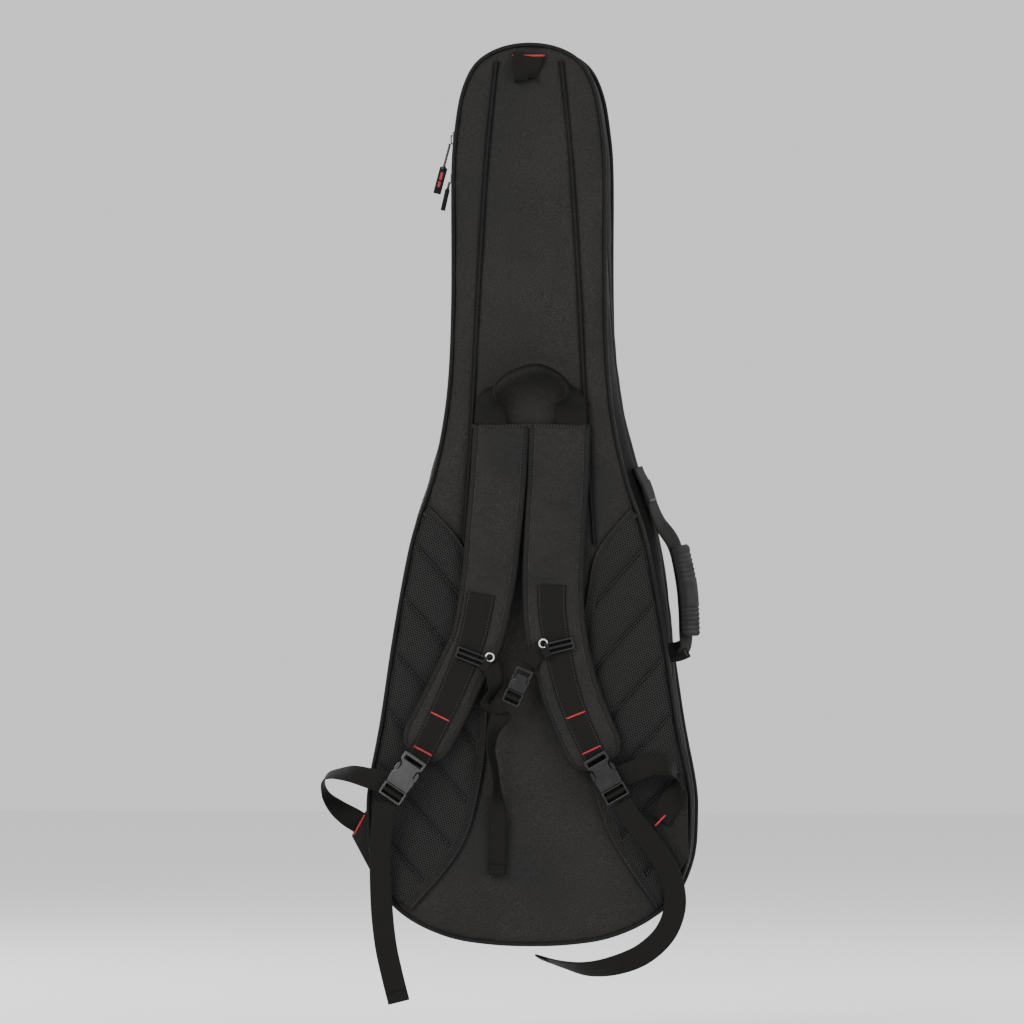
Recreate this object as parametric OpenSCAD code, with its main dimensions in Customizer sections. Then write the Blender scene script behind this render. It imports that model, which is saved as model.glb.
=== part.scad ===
// Padded gig bag for an electric guitar, hanging from its loop with the back towards -Y.
// +X is the viewer's right when looking at the back, +Y goes through the bag to its front pockets, +Z is up.
// The origin is the middle of the hang loop's sewn seam, on the outer face of the back panel.

/* [Bag] */
// Height of the bag over its two ends
bag_length = 1060; // [1040:1:1080]
// Depth of the case between the outer faces of its two panels
case_depth = 96; // [92:1:104]
// Thickness of the padded side wall
wall_t = 7; // [5:0.5:8]
// Thickness of the outer cloth with its backing
cloth_t = 2; // [1.5:0.5:2.5]
// Thickness of the foam core in each panel
foam_t = 8; // [6:0.5:9]
// Thickness of the plush lining
lining_t = 1.5; // [1:0.5:2]
// Width of the cord piping round each panel
piping_w = 4; // [3:0.5:5]

/* [Zips] */
// Width of one zip tape
tape_w = 8; // [6:0.5:9]
// Clearance between the two halves of the main zip
zip_gap = 2; // [1.5:0.5:3]
// Length of a main zip slider
slider_l = 17; // [14:1:20]

/* [Shoulder straps] */
// Width of a padded shoulder strap with its binding
strap_w = 66; // [60:1:68]
// Thickness of a padded shoulder strap
strap_t = 12; // [9:0.5:12]
// Width of the load webbing
webbing_w = 25; // [20:1:26]
// Thickness of the load webbing
webbing_t = 1.6; // [1.2:0.1:2]
// Width of the chest strap's webbing
chest_w = 19; // [16:1:20]

/* [Buckles] */
// Width of the shoulder buckle's socket half
buckle_w = 30; // [29:0.5:31]
// Length of the shoulder buckle's socket half
socket_l = 40; // [38:0.5:41]
// Thickness of the shoulder buckle
buckle_t = 11; // [10:0.5:11]

/* [Pockets] */
// Depth of the large lower pocket
pocket_depth = 30; // [20:1:36]
// Depth of the slim upper pocket
slim_depth = 16; // [12:1:22]

/* [Hidden] */

// Heights below are measured up from the bottom of the bag, and base_z puts them in the part's frame.
loop_seam = 15;
base_z = loop_seam - bag_length;
stretch = bag_length / 1060;
step_count = 3;

// Depth stations, from the back panel's outer face at y = 0 towards the front
panel_y = cloth_t + foam_t;
zip_y = case_depth / 2 - zip_gap / 2;
tape_y = zip_y - tape_w;
lid_y = zip_y + zip_gap;
lid_tape_y = lid_y + tape_w;
front_y = case_depth - panel_y;

// Half of the bag's outline over its piping, as half-width and height, from the top down to the bottom
half_outline = [[0, 1060], [36, 1054], [64, 1036], [80, 1004], [88, 960], [92, 905], [92, 771],
    [95, 676], [103, 608], [117, 547], [140, 476], [160, 371], [176, 265], [190, 190], [192, 150],
    [188, 102], [170, 58], [140, 30], [95, 10], [48, 2], [0, 0]];

// Colours
cloth = [0.16, 0.155, 0.15];
dark_cloth = [0.11, 0.11, 0.11];
webbing = [0.08, 0.08, 0.075];
mesh_cloth = [0.13, 0.13, 0.13];
plastic = [0.17, 0.17, 0.17];
metal = [0.6, 0.6, 0.6];
plush = [0.3, 0.3, 0.32];
foam = [0.5, 0.5, 0.5];
red = [0.75, 0.1, 0.15];

// One point of a smooth curve through p, between p[i] and p[i + 1]
function curve_at(p, i, t) =
    let (a = p[max(i - 1, 0)], b = p[i], c = p[i + 1], d = p[min(i + 2, len(p) - 1)])
    0.5 * (2 * b + (c - a) * t + (2 * a - 5 * b + 4 * c - d) * t * t
        + (3 * b - a - 3 * c + d) * t * t * t);

function smooth(p, n) = concat(
    [for (i = [0 : len(p) - 2]) for (k = [0 : n - 1]) curve_at(p, i, k / n)], [p[len(p) - 1]]);

function unit(v) = v / norm(v);

// The whole outline inside the piping, moved out by grow
function outline(grow = 0) =
    let (mirrored = [for (i = [1 : len(half_outline) - 2]) let (q = half_outline[len(half_outline) - 1 - i])
             [-q[0], q[1]]],
         ring = concat(half_outline, mirrored),
         count = len(ring),
         knots = [for (i = [-1 : count + 1]) ring[(i + count) % count]],
         path = [for (i = [1 : count]) for (k = [0 : step_count - 1]) curve_at(knots, i, k / step_count)],
         n = len(path))
    [for (i = [0 : n - 1])
        let (d = unit(path[(i + 1) % n] - path[(i + n - 1) % n]))
        [path[i][0] - d[1] * (grow - piping_w), (path[i][1] + d[0] * (grow - piping_w)) * stretch]];

// Draws a flat shape standing in the plane of the panels, from y0 to y1
module upright(y0, y1) {
    translate([0, y1, base_z]) rotate([90, 0, 0]) linear_extrude(y1 - y0) children();
}

module slab(grow, y0, y1) {
    upright(y0, y1) polygon(outline(grow));
}

module ring(outer, inner, y0, y1) {
    upright(y0, y1) difference() {
        polygon(outline(outer));
        polygon(outline(inner));
    }
}

// A flat band of thickness t swept along route, with a width and a facing direction for each point
function corners(route, faces, widths, t) =
    [for (i = [0 : len(route) - 1])
        let (along = unit(route[min(i + 1, len(route) - 1)] - route[max(i - 1, 0)]),
             side = unit(cross(along, faces[i])),
             up = cross(side, along))
        for (c = [[-1, -1], [1, -1], [1, 1], [-1, 1]]) route[i] + side * c[0] * widths[i] / 2 + up * c[1] * t / 2];

function band_faces(n) = concat([[0, 1, 2, 3]],
    [for (i = [0 : n - 2]) for (k = [0 : 3])
        [4 * i + k, 4 * i + 4 + k, 4 * i + 4 + (k + 1) % 4, 4 * i + (k + 1) % 4]],
    [[4 * n - 1, 4 * n - 2, 4 * n - 3, 4 * n - 4]]);

// w is one width, or a list with the width at each point of route
module band(route, w, t, faces = undef, n = 3) {
    path = smooth(route, n);
    widths = is_list(w) ? smooth(w, n) : [for (q = path) w];
    looks = is_undef(faces) ? [for (q = path) [0, -1, 0]] : smooth(faces, n);
    translate([0, 0, base_z]) polyhedron(corners(path, looks, widths, t), band_faces(len(path)), convexity = 6);
}

// Routes, as x, y and height above the bottom of the bag
BACKWARD = [0, -1, 0];
FORWARD = [0, 1, 0];

left_strap_route = [[-32, -11, 605], [-34.5, -11, 560], [-37.5, -13, 520], [-41.5, -16, 475], [-46, -17, 430],
    [-58, -17, 367], [-74, -17, 330], [-98, -17, 281], [-127, -17, 226]];
left_strap_widths = [for (less = [2, 2, 2, 3, 4, 7, 8, 8, 8]) strap_w - less];
right_strap_route = [[37, -11, 605], [35.5, -11, 550], [32.5, -13, 500], [30, -16, 445], [30.5, -17, 395],
    [35, -17, 355], [46, -17, 312], [61, -17, 270], [85, -17, 216]];
right_strap_widths = [for (more = [4, 4, 4, 4, 4, 4, 1, 0, 0]) strap_w + more];
strap_face_y = -17 - strap_t / 2 - webbing_t / 2 - 0.1;
left_webbing_route = [[-54, strap_face_y, 414], [-63, strap_face_y, 367], [-76, strap_face_y, 330],
    [-97, strap_face_y, 281], [-119, strap_face_y, 237], [-131, strap_face_y, 214]];
right_webbing_route = [[29, strap_face_y, 424], [29, strap_face_y, 395], [35, strap_face_y, 355],
    [44, strap_face_y, 312], [58, strap_face_y, 270], [78, strap_face_y, 226], [87, strap_face_y, 207]];

// The load webbing narrows by this much from its sewn top end down to the buckle
webbing_taper = 8;

buckle_y = strap_face_y - webbing_t / 2 - 1 - buckle_t / 2;
left_buckle = [-130, buckle_y, 221];
left_buckle_tilt = 34;
right_buckle = [80, buckle_y, 223];
right_buckle_tilt = -30;
under_buckle_y = buckle_y + buckle_t / 2 + webbing_t;

left_loop_route = [[-148, under_buckle_y, 190], [-180, -20.5, 196], [-212, -17, 203], [-238, -4, 199],
    [-243, 9, 180], [-226, 11, 160], [-201.5, 11, 144]];
left_loop_faces = [BACKWARD, [0, -0.9, 0.3], [0, -0.75, 0.65], [-0.4, -0.25, 0.85], [-1, 0.1, -0.1], [-0.5, 0.75, -0.4],
    FORWARD];
right_loop_route = [[97, under_buckle_y, 194], [124, -23, 206], [148, -22, 214], [168, -23.5, 209],
    [176, -22, 193], [168, -15, 172], [154.5, -13, 149]];
right_loop_faces = [BACKWARD, BACKWARD, [0.1, -1, 0.3], [0.8, -0.8, 0.4], [1, 0.6, 0], FORWARD, FORWARD];

left_tail_route = [[-165, -31, 169], [-169, -31, 151], [-172, -26, 122], [-173, -19, 82], [-172, -13, 40],
    [-168, -8, 0], [-161, -5, -34], [-153, -4, -66]];
right_tail_route = [[111, -31, 171], [122, -31, 153], [140, -27, 130], [158, -22, 104], [170, -17, 76],
    [172, -13, 46], [160, -9, 16], [134, -5, -8], [100, 4, -22], [66, 16, -27], [34, 28, -22], [8, 38, -14]];
right_tail_faces = [BACKWARD, BACKWARD, BACKWARD, BACKWARD, BACKWARD, BACKWARD, BACKWARD,
    [0.1, -1, -0.2], [0.1, -1, -0.5], [0, -0.8, -0.8], [0, -0.5, -1], [0, -0.3, -1]];

chest_y = -28;
chest_loop_route = [[-40, chest_y, 327], [-41, chest_y, 316], [-47, chest_y, 303], [-50, -29, 290], [-44, -29, 283],
    [-36, -30, 287]];
chest_loop_faces = [BACKWARD, [0.6, -0.8, 0.1], [1, -0.35, 0], [0.8, -0.5, -0.4], [0.1, -0.85, -0.5], BACKWARD];
chest_link_route = [[2, -24.8, 330], [6, -24.8, 337], [14, -24.8, 349]];
chest_tail_route = [[-24, -22.4, 276], [-38, -23, 258], [-43, -21, 232], [-38, -18, 204], [-36, -14, 160],
    [-36, -10, 120], [-37, -7, 84]];
chest_tail_faces = [BACKWARD, [0.8, -0.6, 0], [0.95, -0.35, 0], [0.9, -0.4, 0], BACKWARD, BACKWARD, BACKWARD];
chest_buckle = [-2, chest_y, 325];
chest_buckle_tilt = 24;

grab_w = 37;
grab_route = [[-45, -8, 616], [-44, -13, 630], [-41, -22.5, 650], [-28, -23, 668], [8, -24, 681],
    [38, -23, 669], [50, -22.5, 650], [50, -13, 630], [49.5, -8, 616]];
grab_faces = [BACKWARD, [-0.25, -1, 0.05], [-1, -0.15, 0.45], [-0.6, -0.1, 0.8], [0, -0.1, 1], [0.6, -0.1, 0.8],
    [1, -0.15, 0.45], [0.25, -1, 0.05], BACKWARD];

handle_y = 24;
handle_t = 2.4;
grip_t = 9;
handle_out = handle_t / 2 + grip_t / 2 + 0.8;
handle_route = [[131.5, handle_y, 546], [139, handle_y, 533], [150, handle_y, 517], [163, handle_y, 497],
    [175, handle_y, 470], [184, handle_y, 430], [187, handle_y, 395], [188, handle_y, 364], [187, handle_y, 351],
    [181, handle_y, 343]];
handle_look = [0.87, -0.5, 0];
tab_look = [0.95, -0.3, 0];
handle_faces = [tab_look, tab_look, [0.92, -0.4, 0], handle_look, handle_look, handle_look, handle_look, handle_look,
    handle_look, tab_look];

// ---- back of the case ----

module back_panel() {
    color(cloth) slab(0, 0, cloth_t);
}

module back_foam() {
    color(foam) slab(-piping_w, cloth_t, panel_y);
}

module back_lining() {
    color(plush) slab(-wall_t - 0.5, panel_y, panel_y + lining_t);
}

// Edges of the raised centre panel, down to the mesh pads
centre_edge = [[38, 1038], [45, 973], [51, 905], [59, 775], [66, 632], [69, 576], [77, 472]];

module centre_panel() {
    edge = smooth(centre_edge, 2);
    color(cloth) upright(-2, 0) polygon(concat([for (q = edge) [q[0] - 2.5, q[1]]],
        [[52, 440], [44, 330], [46, 240], [64, 145], [96, 70], [-84, 70], [-52, 145], [-36, 240], [-36, 330], [-50, 440]],
        [for (i = [len(edge) - 1 : -1 : 0]) [2.5 - edge[i][0], edge[i][1]]]));
}

module centre_piping() {
    color(dark_cloth) for (s = [-1, 1])
        band([for (q = centre_edge) [s * q[0], -2, q[1]]], piping_w, 3.6);
}

module back_piping() {
    color(dark_cloth) ring(piping_w, 0.1, -2, 3);
}

// Inner border of each mesh pad
left_pad_edge = [[-122, 522], [-75, 467], [-60, 390], [-50, 310], [-50, 255], [-55, 205], [-70, 140],
    [-93, 98], [-138, 46]];
right_pad_edge = [[126, 522], [82, 464], [70, 418], [60, 340], [62, 270], [74, 200], [88, 150],
    [108, 110], [150, 48]];
pad_out = 230;
binding_w = 11;

module pad_shape(edge, side, shrink) {
    path = smooth(edge, 3);
    intersection() {
        polygon(outline(-3));
        polygon(concat([for (q = path) [q[0] + side * shrink, q[1] - (q[1] > 464 ? shrink * 0.6 : 0)]],
            [[side * pad_out, edge[len(edge) - 1][1]], [side * pad_out, edge[0][1]]]));
    }
}

module left_mesh_pad() {
    color(mesh_cloth) upright(-8, 0) pad_shape(left_pad_edge, -1, binding_w + 3);
}

module right_mesh_pad() {
    color(mesh_cloth) upright(-8, 0) pad_shape(right_pad_edge, 1, binding_w + 3);
}

module pad_binding(edge) {
    path = [for (q = edge) [q[0], -3.6, q[1]]];
    color(dark_cloth) intersection() {
        band(path, binding_w, 3);
        slab(-2, -10, 5);
    }
}

module left_pad_binding() {
    pad_binding([for (q = left_pad_edge) [q[0] - 5.5, q[1] - (q[1] > 464 ? 4 : 0)]]);
}

module right_pad_binding() {
    pad_binding([for (q = right_pad_edge) [q[0] + 5.5, q[1] - (q[1] > 464 ? 4 : 0)]]);
}

module back_gusset() {
    color(dark_cloth) ring(0, -wall_t, panel_y, tape_y);
}

module main_zip_back() {
    color(webbing) ring(-1, -4, tape_y, zip_y);
}

// Cloth hinge between the two halves of the case, on the right of the lower bout
spine_low = 84;
spine_high = 232;

module spine_strip() {
    color(dark_cloth) intersection() {
        ring(-1.5, -3.5, zip_y, lid_y);
        translate([100, 0, base_z + spine_low]) cube([120, case_depth, spine_high - spine_low]);
    }
}

module base_guard() {
    color(plastic) intersection() {
        ring(1.5, 0.1, 4, tape_y - 2);
        translate([-105, 0, base_z]) cube([210, case_depth, 24]);
    }
}

// ---- top loop and grab handle ----

loop_w = 37;

module hang_loop() {
    color(webbing) translate([0, -2.4, 0]) difference() {
        hull() {
            translate([-loop_w / 2, -3, -3]) cube([loop_w, 3, 6]);
            translate([-10, -7, -31]) cube([14, 6, 3]);
        }
        hull() {
            translate([-13, -8, -15]) cube([24, 7, 1]);
            translate([-7, -9, -24]) cube([9, 9, 1]);
        }
    }
}

module strap_yoke() {
    color(dark_cloth) translate([-66, -7.8, base_z + 608]) cube([138, 3.4, 4]);
}

module grab_handle() {
    color(webbing) band(grab_route, grab_w, 3, grab_faces);
}

// ---- shoulder straps ----

module shoulder_strap(route, widths) {
    color(cloth) band(route, widths, strap_t);
}

module left_shoulder_strap() {
    shoulder_strap(left_strap_route, left_strap_widths);
}

module right_shoulder_strap() {
    shoulder_strap(right_strap_route, right_strap_widths);
}

module load_webbing(route) {
    last = len(route) - 1;
    color(webbing) band(route, [for (i = [0 : last]) webbing_w + webbing_taper * (1 - i / last)], webbing_t);
}

module left_strap_webbing() {
    load_webbing(left_webbing_route);
}

module right_strap_webbing() {
    load_webbing(right_webbing_route);
}

// Places a buckle with its top bar at place and its length running down, turned by tilt about y
module buckle_frame(place, tilt) {
    translate([place[0], place[1], base_z + place[2]]) rotate([0, tilt, 0]) children();
}

// Socket half: a webbing bar at the top and a hollow body, open at the bottom and at both sides
module socket_half(w, l, t) {
    color(plastic) difference() {
        translate([-w / 2, -t / 2, -l]) cube([w, t, l]);
        translate([-w / 2 + 3.5, -t, -9]) cube([w - 7, 2 * t, 6]);
        translate([-w / 2 + 3, -t / 2 + 2, -l - 1]) cube([w - 6, t - 4, l - 12]);
        for (s = [-1, 1]) translate([s * w / 2 - 4, -t / 2 + 2, -l + 6]) cube([8, t - 4, 15]);
    }
}

plug_l = 17;

// Plug half: a ladder for the webbing, two spring prongs and a guide tongue
module plug_half(w, l, t) {
    gap = 0.5;
    prong_l = l - 20;
    color(plastic) translate([0, 0, -l - gap]) {
        difference() {
            translate([-w / 2, -t / 2, -plug_l]) cube([w, t, plug_l]);
            for (z = [-8, -14.5]) translate([-w / 2 + 2.5, -t, z]) cube([w - 5, 2 * t, 4.5]);
        }
        for (s = [-1, 1]) translate([s * (w / 2 - 6) - 2.2, -t / 2 + 2.6, 0]) cube([4.4, t - 5.2, prong_l]);
        translate([-2.5, -t / 2 + 2.8, 0]) cube([5, t - 5.6, prong_l - 2]);
    }
}

module left_buckle_socket() {
    buckle_frame(left_buckle, left_buckle_tilt) socket_half(buckle_w, socket_l, buckle_t);
}

module right_buckle_socket() {
    buckle_frame(right_buckle, right_buckle_tilt) socket_half(buckle_w, socket_l, buckle_t);
}

module left_buckle_plug() {
    buckle_frame(left_buckle, left_buckle_tilt) plug_half(buckle_w, socket_l, buckle_t);
}

module right_buckle_plug() {
    buckle_frame(right_buckle, right_buckle_tilt) plug_half(buckle_w, socket_l, buckle_t);
}

module left_adjust_loop() {
    color(webbing) band(left_loop_route, webbing_w, webbing_t, left_loop_faces);
}

module right_adjust_loop() {
    color(webbing) band(right_loop_route, webbing_w, webbing_t, right_loop_faces);
}

module left_anchor_tab() {
    color(dark_cloth) upright(4, 8) difference() {
        polygon([[-210, 129], [-196, 154], [-186, 168], [-180, 88], [-187, 86]]);
        polygon(outline(piping_w));
    }
}

module right_anchor_tab() {
    color(dark_cloth) upright(-10.5, -8.3) polygon([[147, 141], [161, 156], [178, 196], [184, 180], [184, 108], [174, 84]]);
}

module left_tail() {
    color(webbing) band(left_tail_route, webbing_w, webbing_t);
}

module right_tail() {
    color(webbing) band(right_tail_route, webbing_w, webbing_t, right_tail_faces);
}

// ---- chest strap ----

// A plastic slide on the strap's webbing, with a wire ring on its inner top corner
module chest_slider(place, w, tilt, side) {
    translate([place[0], strap_face_y - webbing_t / 2 - 2.4, base_z + place[1]]) rotate([0, tilt, 0]) {
        color(plastic) difference() {
            translate([-w / 2, -2, -7]) cube([w, 4, 14]);
            for (z = [-4.8, 1.2]) translate([-w / 2 + 2.2, -3, z]) cube([w - 4.4, 6, 3.6]);
        }
        color(metal) translate([side * (w / 2 + 3), 0, 7.5]) rotate([90, 0, 0])
            rotate_extrude($fn = 32) translate([4.8, 0]) circle(r = 1.2, $fn = 16);
    }
}

module left_chest_slider() {
    chest_slider([-66, 340], 36, 21, 1);
}

module right_chest_slider() {
    chest_slider([39.5, 353], 32, -14, -1);
}

module chest_loop() {
    color(webbing) band(chest_loop_route, chest_w, webbing_t, chest_loop_faces);
}

module chest_link() {
    color(webbing) band(chest_link_route, chest_w, webbing_t);
}

module chest_buckle_socket() {
    buckle_frame(chest_buckle, chest_buckle_tilt) socket_half(22, 27, 8);
}

module chest_buckle_plug() {
    buckle_frame(chest_buckle, chest_buckle_tilt) plug_half(22, 27, 8);
}

module chest_tail() {
    color(webbing) band(chest_tail_route, chest_w, webbing_t, chest_tail_faces);
}

// ---- side handle ----

module side_tab(low, high, x0, x1, out) {
    color(webbing) intersection() {
        ring(out, 0.1, handle_y - 14, handle_y + 14);
        translate([x0, 0, base_z + low]) cube([x1 - x0, case_depth, high - low]);
    }
}

module side_handle_upper_tab() {
    side_tab(520, 562, 100, 150, 9);
}

module side_handle_lower_tab() {
    side_tab(332, 356, 150, 190, 16);
}

module side_handle_webbing() {
    color(webbing) band(handle_route, 26, handle_t, handle_faces);
}

module side_handle_grip() {
    grip_route = [for (i = [4 : 7]) handle_route[i] + handle_out * handle_look];
    color(plastic) band(grip_route, 30, grip_t, [for (q = grip_route) handle_look]);
}

// ---- main zip sliders ----

slider_x = -89.5;
slider_y = case_depth / 2;

module zip_slider(h) {
    color(metal) translate([slider_x - 5, slider_y - 5.5, base_z + h - slider_l]) {
        cube([4, 11, slider_l]);
        translate([-3, 4, 3]) cube([3, 3, 11]);
    }
}

module upper_slider() {
    zip_slider(958);
}

module lower_slider() {
    zip_slider(912);
}

// A pull on its link, moved to one side so that the two pulls pass each other
module pull_tab(h, w, l, link, tilt, t, side) {
    translate([slider_x - 9.2, slider_y, base_z + h]) rotate([0, tilt, 0]) {
        translate([-w / 2, side - t / 2, -l]) cube([w, t, l - link]);
        translate([-1, min(0, sign(side)) * 1.5 - 2.5, -link - 1]) cube([2, 6.5, link + 1]);
    }
}

module upper_pull() {
    color(red) pull_tab(943, 9, 60, 28, 15, 3.5, 3.8);
}

module lower_pull() {
    color(plastic) pull_tab(898, 5.5, 34, 8, 13, 2.5, -4.4);
}

// ---- inside the case ----

module neck_rest() {
    color(plush) translate([-60, panel_y + lining_t, base_z + 640]) difference() {
        cube([120, 26, 70]);
        translate([33, 8, -1]) cube([54, 30, 72]);
    }
}

module neck_strap() {
    color(webbing) translate([-58, panel_y + lining_t + 26.3, base_z + 655]) cube([103, 2.5, 38]);
}

module end_pin_pad() {
    color(plush) upright(panel_y + lining_t, tape_y - 4) intersection() {
        difference() {
            polygon(outline(-wall_t - 0.2));
            polygon(outline(-wall_t - 9));
        }
        translate([-70, 0]) square([140, 40]);
    }
}

// ---- front half of the case ----

module front_panel() {
    color(cloth) slab(0, front_y + lining_t, case_depth);
}

module front_lining() {
    color(plush) slab(-wall_t - 0.5, front_y, front_y + lining_t);
}

module front_gusset() {
    color(dark_cloth) ring(0, -wall_t, lid_tape_y, front_y + lining_t);
}

module main_zip_front() {
    color(webbing) ring(-1, -4, lid_y, lid_tape_y);
}

module front_piping() {
    color(dark_cloth) ring(piping_w, 0.1, case_depth - 4, case_depth + 1);
}

// The part of the outline between two heights, a little inside the piping
module pocket_shape(low, high, inset) {
    intersection() {
        polygon(outline(-12 - inset));
        translate([-200, low + inset]) square([400, high - low - 2 * inset]);
    }
}

// A hollow pocket on the front: full depth up to step, then shallower up to its zip and top edge
module pocket(low, step, high, depth, shallow, slot_z, slot_w) {
    skin = 3;
    seam = 4;
    color(cloth) difference() {
        union() {
            upright(case_depth, case_depth + depth) pocket_shape(low, step, 0);
            upright(case_depth, case_depth + shallow) pocket_shape(low, high, 0);
        }
        upright(case_depth - 1, case_depth + depth - skin) pocket_shape(low, step, seam);
        upright(case_depth - 1, case_depth + shallow - skin) pocket_shape(low, high, seam);
        translate([-slot_w / 2, case_depth + shallow - 4, base_z + slot_z - 2]) cube([slot_w, 8, 4]);
    }
}

lower_slot = 484;
lower_shallow = pocket_depth - 10;
slim_slot = 842;
slim_shallow = slim_depth - 2;

module lower_pocket() {
    pocket(30, 446, 500, pocket_depth, lower_shallow, lower_slot, 200);
}

module slim_pocket() {
    pocket(560, 800, 862, slim_depth, slim_shallow, slim_slot, 120);
}

module pocket_zip_slider(x, y, h) {
    color(metal) translate([x - 7, y + 0.5, base_z + h - 5]) {
        cube([14, 4, 10]);
        translate([4, 4, 3.5]) cube([7, 3, 3]);
    }
}

module pocket_zip_pull(x, y, h) {
    color(plastic) translate([x + 1.5, y + 8.2, base_z + h - 2.2]) {
        translate([-2.5, -1, -4]) cube([5, 2, 4]);
        translate([-3.5, -1.25, -34]) cube([7, 2.5, 30]);
    }
}

module pocket_slider() {
    pocket_zip_slider(-80, case_depth + lower_shallow, lower_slot);
}

module pocket_pull() {
    pocket_zip_pull(-80, case_depth + lower_shallow, lower_slot);
}

module slim_slider() {
    pocket_zip_slider(-50, case_depth + slim_shallow, slim_slot);
}

module slim_pull() {
    pocket_zip_pull(-50, case_depth + slim_shallow, slim_slot);
}

back_panel();
back_foam();
back_lining();
centre_panel();
centre_piping();
back_piping();
left_mesh_pad();
right_mesh_pad();
left_pad_binding();
right_pad_binding();
back_gusset();
main_zip_back();
spine_strip();
base_guard();
hang_loop();
strap_yoke();
grab_handle();
left_shoulder_strap();
right_shoulder_strap();
left_strap_webbing();
right_strap_webbing();
left_buckle_socket();
right_buckle_socket();
left_buckle_plug();
right_buckle_plug();
left_adjust_loop();
right_adjust_loop();
left_anchor_tab();
right_anchor_tab();
left_tail();
right_tail();
left_chest_slider();
right_chest_slider();
chest_loop();
chest_link();
chest_buckle_socket();
chest_buckle_plug();
chest_tail();
side_handle_upper_tab();
side_handle_lower_tab();
side_handle_webbing();
side_handle_grip();
upper_slider();
upper_pull();
lower_slider();
lower_pull();
neck_rest();
neck_strap();
end_pin_pad();
front_panel();
front_lining();
front_gusset();
main_zip_front();
front_piping();
lower_pocket();
pocket_slider();
pocket_pull();
slim_pocket();
slim_slider();
slim_pull();
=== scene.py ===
"""A padded gig bag for an electric guitar, hanging from its top loop with its back to the viewer.

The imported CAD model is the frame. This script replaces each plain soft solid with a detailed piece, gives
every piece a procedural material, and lights the scene. Lengths named _mm are millimetres; the rest are metres.
Places are given as (x, y, height above the bottom of the bag) in millimetres, as in the part's source.
"""

import math

import bmesh
import bpy
import numpy as np
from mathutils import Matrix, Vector
from mathutils.kdtree import KDTree
from mathutils.noise import noise as perlin


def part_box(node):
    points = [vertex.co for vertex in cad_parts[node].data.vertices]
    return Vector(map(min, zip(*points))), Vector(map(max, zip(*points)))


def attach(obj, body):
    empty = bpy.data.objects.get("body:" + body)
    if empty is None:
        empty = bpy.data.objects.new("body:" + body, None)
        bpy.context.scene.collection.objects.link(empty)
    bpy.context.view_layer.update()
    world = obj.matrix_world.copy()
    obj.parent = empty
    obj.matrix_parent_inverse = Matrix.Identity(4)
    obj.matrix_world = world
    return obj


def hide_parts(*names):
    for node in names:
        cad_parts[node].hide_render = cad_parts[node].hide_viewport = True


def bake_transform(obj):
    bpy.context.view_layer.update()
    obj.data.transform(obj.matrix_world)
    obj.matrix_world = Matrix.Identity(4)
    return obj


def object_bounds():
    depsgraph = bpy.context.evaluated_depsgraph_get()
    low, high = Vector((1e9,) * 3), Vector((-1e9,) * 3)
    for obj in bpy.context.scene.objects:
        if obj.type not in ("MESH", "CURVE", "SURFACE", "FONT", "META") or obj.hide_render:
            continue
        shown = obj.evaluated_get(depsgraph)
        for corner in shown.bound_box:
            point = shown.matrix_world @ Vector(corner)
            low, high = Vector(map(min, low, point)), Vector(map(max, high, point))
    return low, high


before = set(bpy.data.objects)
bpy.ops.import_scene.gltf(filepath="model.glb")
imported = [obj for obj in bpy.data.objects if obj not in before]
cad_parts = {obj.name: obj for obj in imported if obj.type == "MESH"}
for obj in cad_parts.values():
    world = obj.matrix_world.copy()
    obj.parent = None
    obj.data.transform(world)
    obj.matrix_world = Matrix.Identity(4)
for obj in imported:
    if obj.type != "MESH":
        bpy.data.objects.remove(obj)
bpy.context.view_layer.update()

MM = 0.001
BASE = -1.045
BACK_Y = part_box("back_panel")[0].y
CASE_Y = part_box("front_panel")[1].y
BACKWARD = (0, -1, 0)
FORWARD = (0, 1, 0)
RIGHTWARD = (1, 0, 0)


def settle(obj, body, slot, *nodes, fill=None):
    """Ties a finished piece to its body, in place of the CAD nodes it stands for, which it hides. slot is not used."""
    if nodes:
        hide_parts(*nodes)
    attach(obj, body)


# ---------------------------------------------------------------- node graphs

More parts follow.
